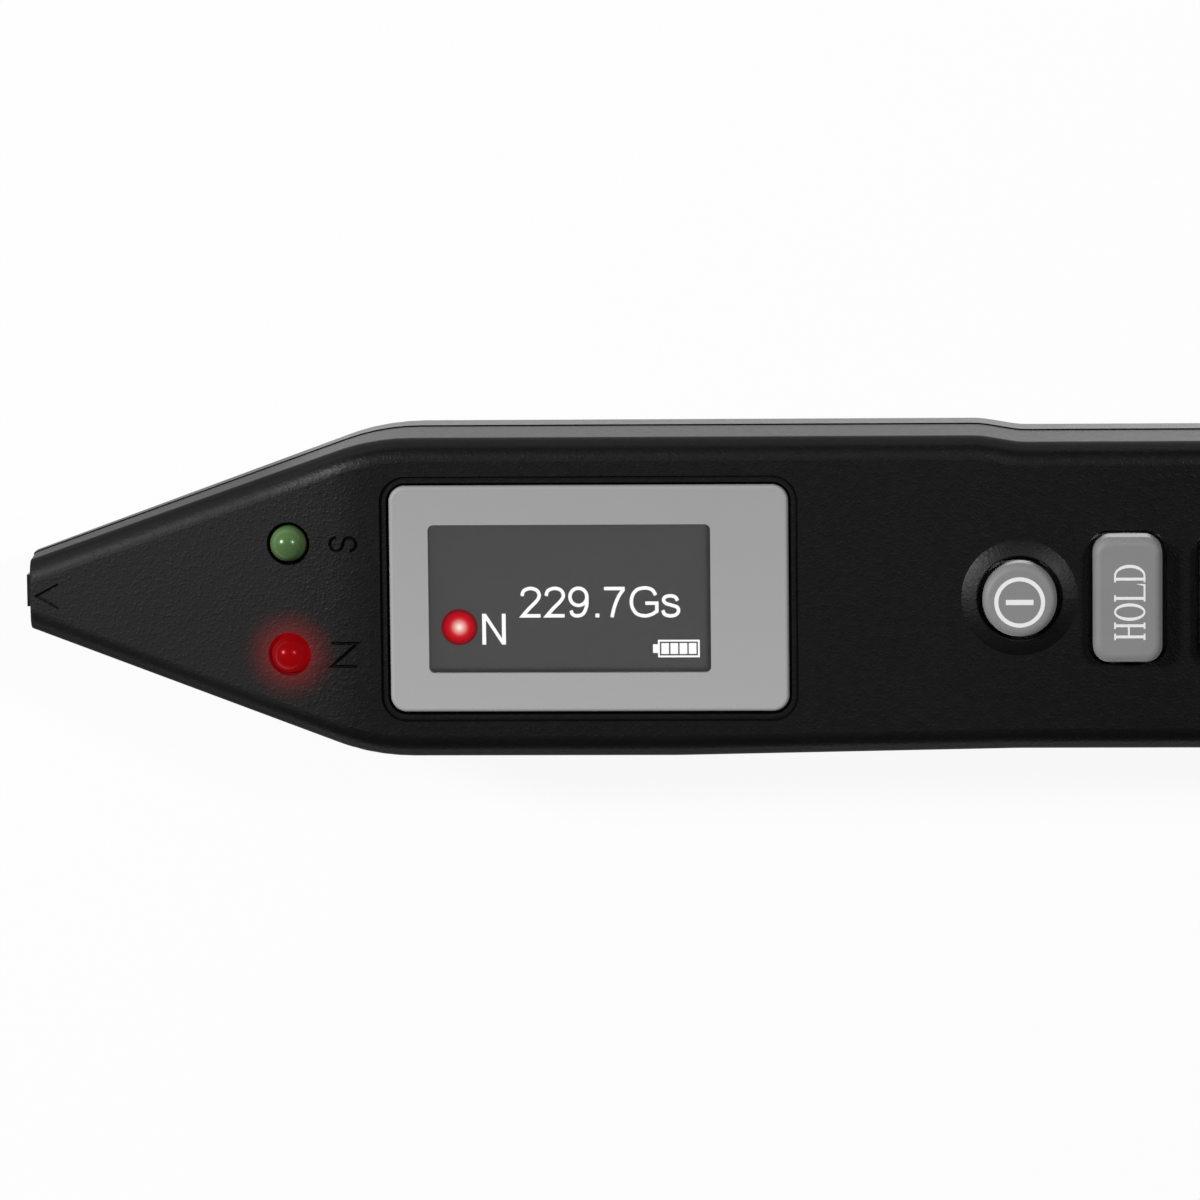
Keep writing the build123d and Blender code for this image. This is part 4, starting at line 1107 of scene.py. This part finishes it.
glyphs = {
    "2": pen_stroke(
        [
            (0.092, 0.70), (0.16, 0.87), (0.37, 0.944), (0.575, 0.88),
            (0.65, 0.72), (0.575, 0.55), (0.325, 0.30),
        ],
        [(0.115, 0.056), (0.686, 0.056)],
    ),
    "9": ring((0.358, 0.668), (0.328, 0.334), (0.328 - pen, 0.334 - pen))
    + pen_stroke(
        [(0.630, 0.66), (0.615, 0.36), (0.505, 0.12), (0.320, 0.052), (0.170, 0.10), (0.115, 0.225)]
    ),
    "7": stroke([(0.020, 0.932), (0.685, 0.932)], pen)
    + pen_stroke([(0.650, 0.90), (0.500, 0.70), (0.355, 0.36), (0.265, 0.0)]),
    ".": slab(0.125, 0.0, 0.250, 0.125),
    "G": pen_stroke(
        [
            (0.900, 0.715), (0.790, 0.885), (0.560, 0.950), (0.290, 0.880), (0.140, 0.660),
            (0.135, 0.360), (0.290, 0.115), (0.560, 0.046), (0.780, 0.095),
        ],
        [(0.935, 0.195), (0.935, 0.455), (0.565, 0.455)],
    ),
    "s": pen_stroke(
        [
            (0.575, 0.535), (0.500, 0.650), (0.345, 0.690), (0.175, 0.650), (0.125, 0.545),
            (0.195, 0.450), (0.365, 0.393), (0.555, 0.325), (0.600, 0.205), (0.525, 0.085),
            (0.345, 0.042), (0.165, 0.090), (0.092, 0.222),
        ]
    ),
    "N": slab(0.125, 0.0, 0.125 + post, 1.0)
    + slab(0.885 - post, 0.0, 0.885, 1.0)
    + patch((0.248, 1.0), (0.248, 0.80), (0.762, 0.0), (0.762, 0.20)),
}
advances = {"2": 0.777, "9": 0.777, "7": 0.777, ".": 0.388, "G": 1.030, "s": 0.70, "N": 1.008}


def line_of_text(text):
    pen_at = 0.0
    shapes = []
    for letter in text:
        shapes += moved(glyphs[letter], pen_at, 0.0)
        pen_at += advances[letter]
    return shapes


print("drew", *glyphs)

# %% Reading, pole and ball
screen_film = 0.010 * MM
reading_height = 2.50
reading_place = (-39.73, -1.72)
pole_place = (-43.04, -3.90)
panel_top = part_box("display_panel")[1].z


def show(name, shapes, x, y, unit, finish):
    origin = Vector((x * MM, y * MM, panel_top))
    place = across_and_up(origin, reading_x, reading_y, unit)
    lay_mark(name, shapes, place, screen_film, finish, "case")


show("screen_reading", line_of_text("229.7Gs"), *reading_place, reading_height, "screen_white")
show("screen_pole", line_of_text("N"), *pole_place, reading_height, "screen_white")
show("screen_ball", disc(ball_radius), *ball_place, 1.0, "screen_red")

# %% Battery sign
battery_place = (-28.59, -4.97)
battery_width = 3.36
battery_height = 1.42
battery_line = 0.15
nub_length = 0.40
nub_height = 0.70
bar_count = 4
bar_gap = 0.12

inner_right = battery_width - battery_line
inner_top = battery_height - battery_line
battery_shapes = slab(0, 0, battery_width, battery_line)
battery_shapes += slab(0, inner_top, battery_width, battery_height)
battery_shapes += slab(0, battery_line, battery_line, inner_top)
battery_shapes += slab(inner_right, battery_line, battery_width, inner_top)
nub_low = (battery_height - nub_height) / 2
battery_shapes += slab(-nub_length, nub_low, 0, nub_low + nub_height)
bar_width = (inner_right - battery_line - bar_gap * (bar_count + 1)) / bar_count
for index in range(bar_count):
    left = battery_line + bar_gap + index * (bar_width + bar_gap)
    battery_shapes += slab(left, battery_line + bar_gap, left + bar_width, inner_top - bar_gap)
show("screen_battery", battery_shapes, *battery_place, 1.0, "screen_white")

# %% [markdown]
# ## Compare sizes
# The looks should leave the object's size as it was, so the script prints how much they add.

# %% Compare the sizes
visual_low, visual_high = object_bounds()
grown = [round((v - c) / MM, 3) for v, c in zip(visual_high - visual_low, cad_high - cad_low)]
print("the looks add, in mm:", grown)
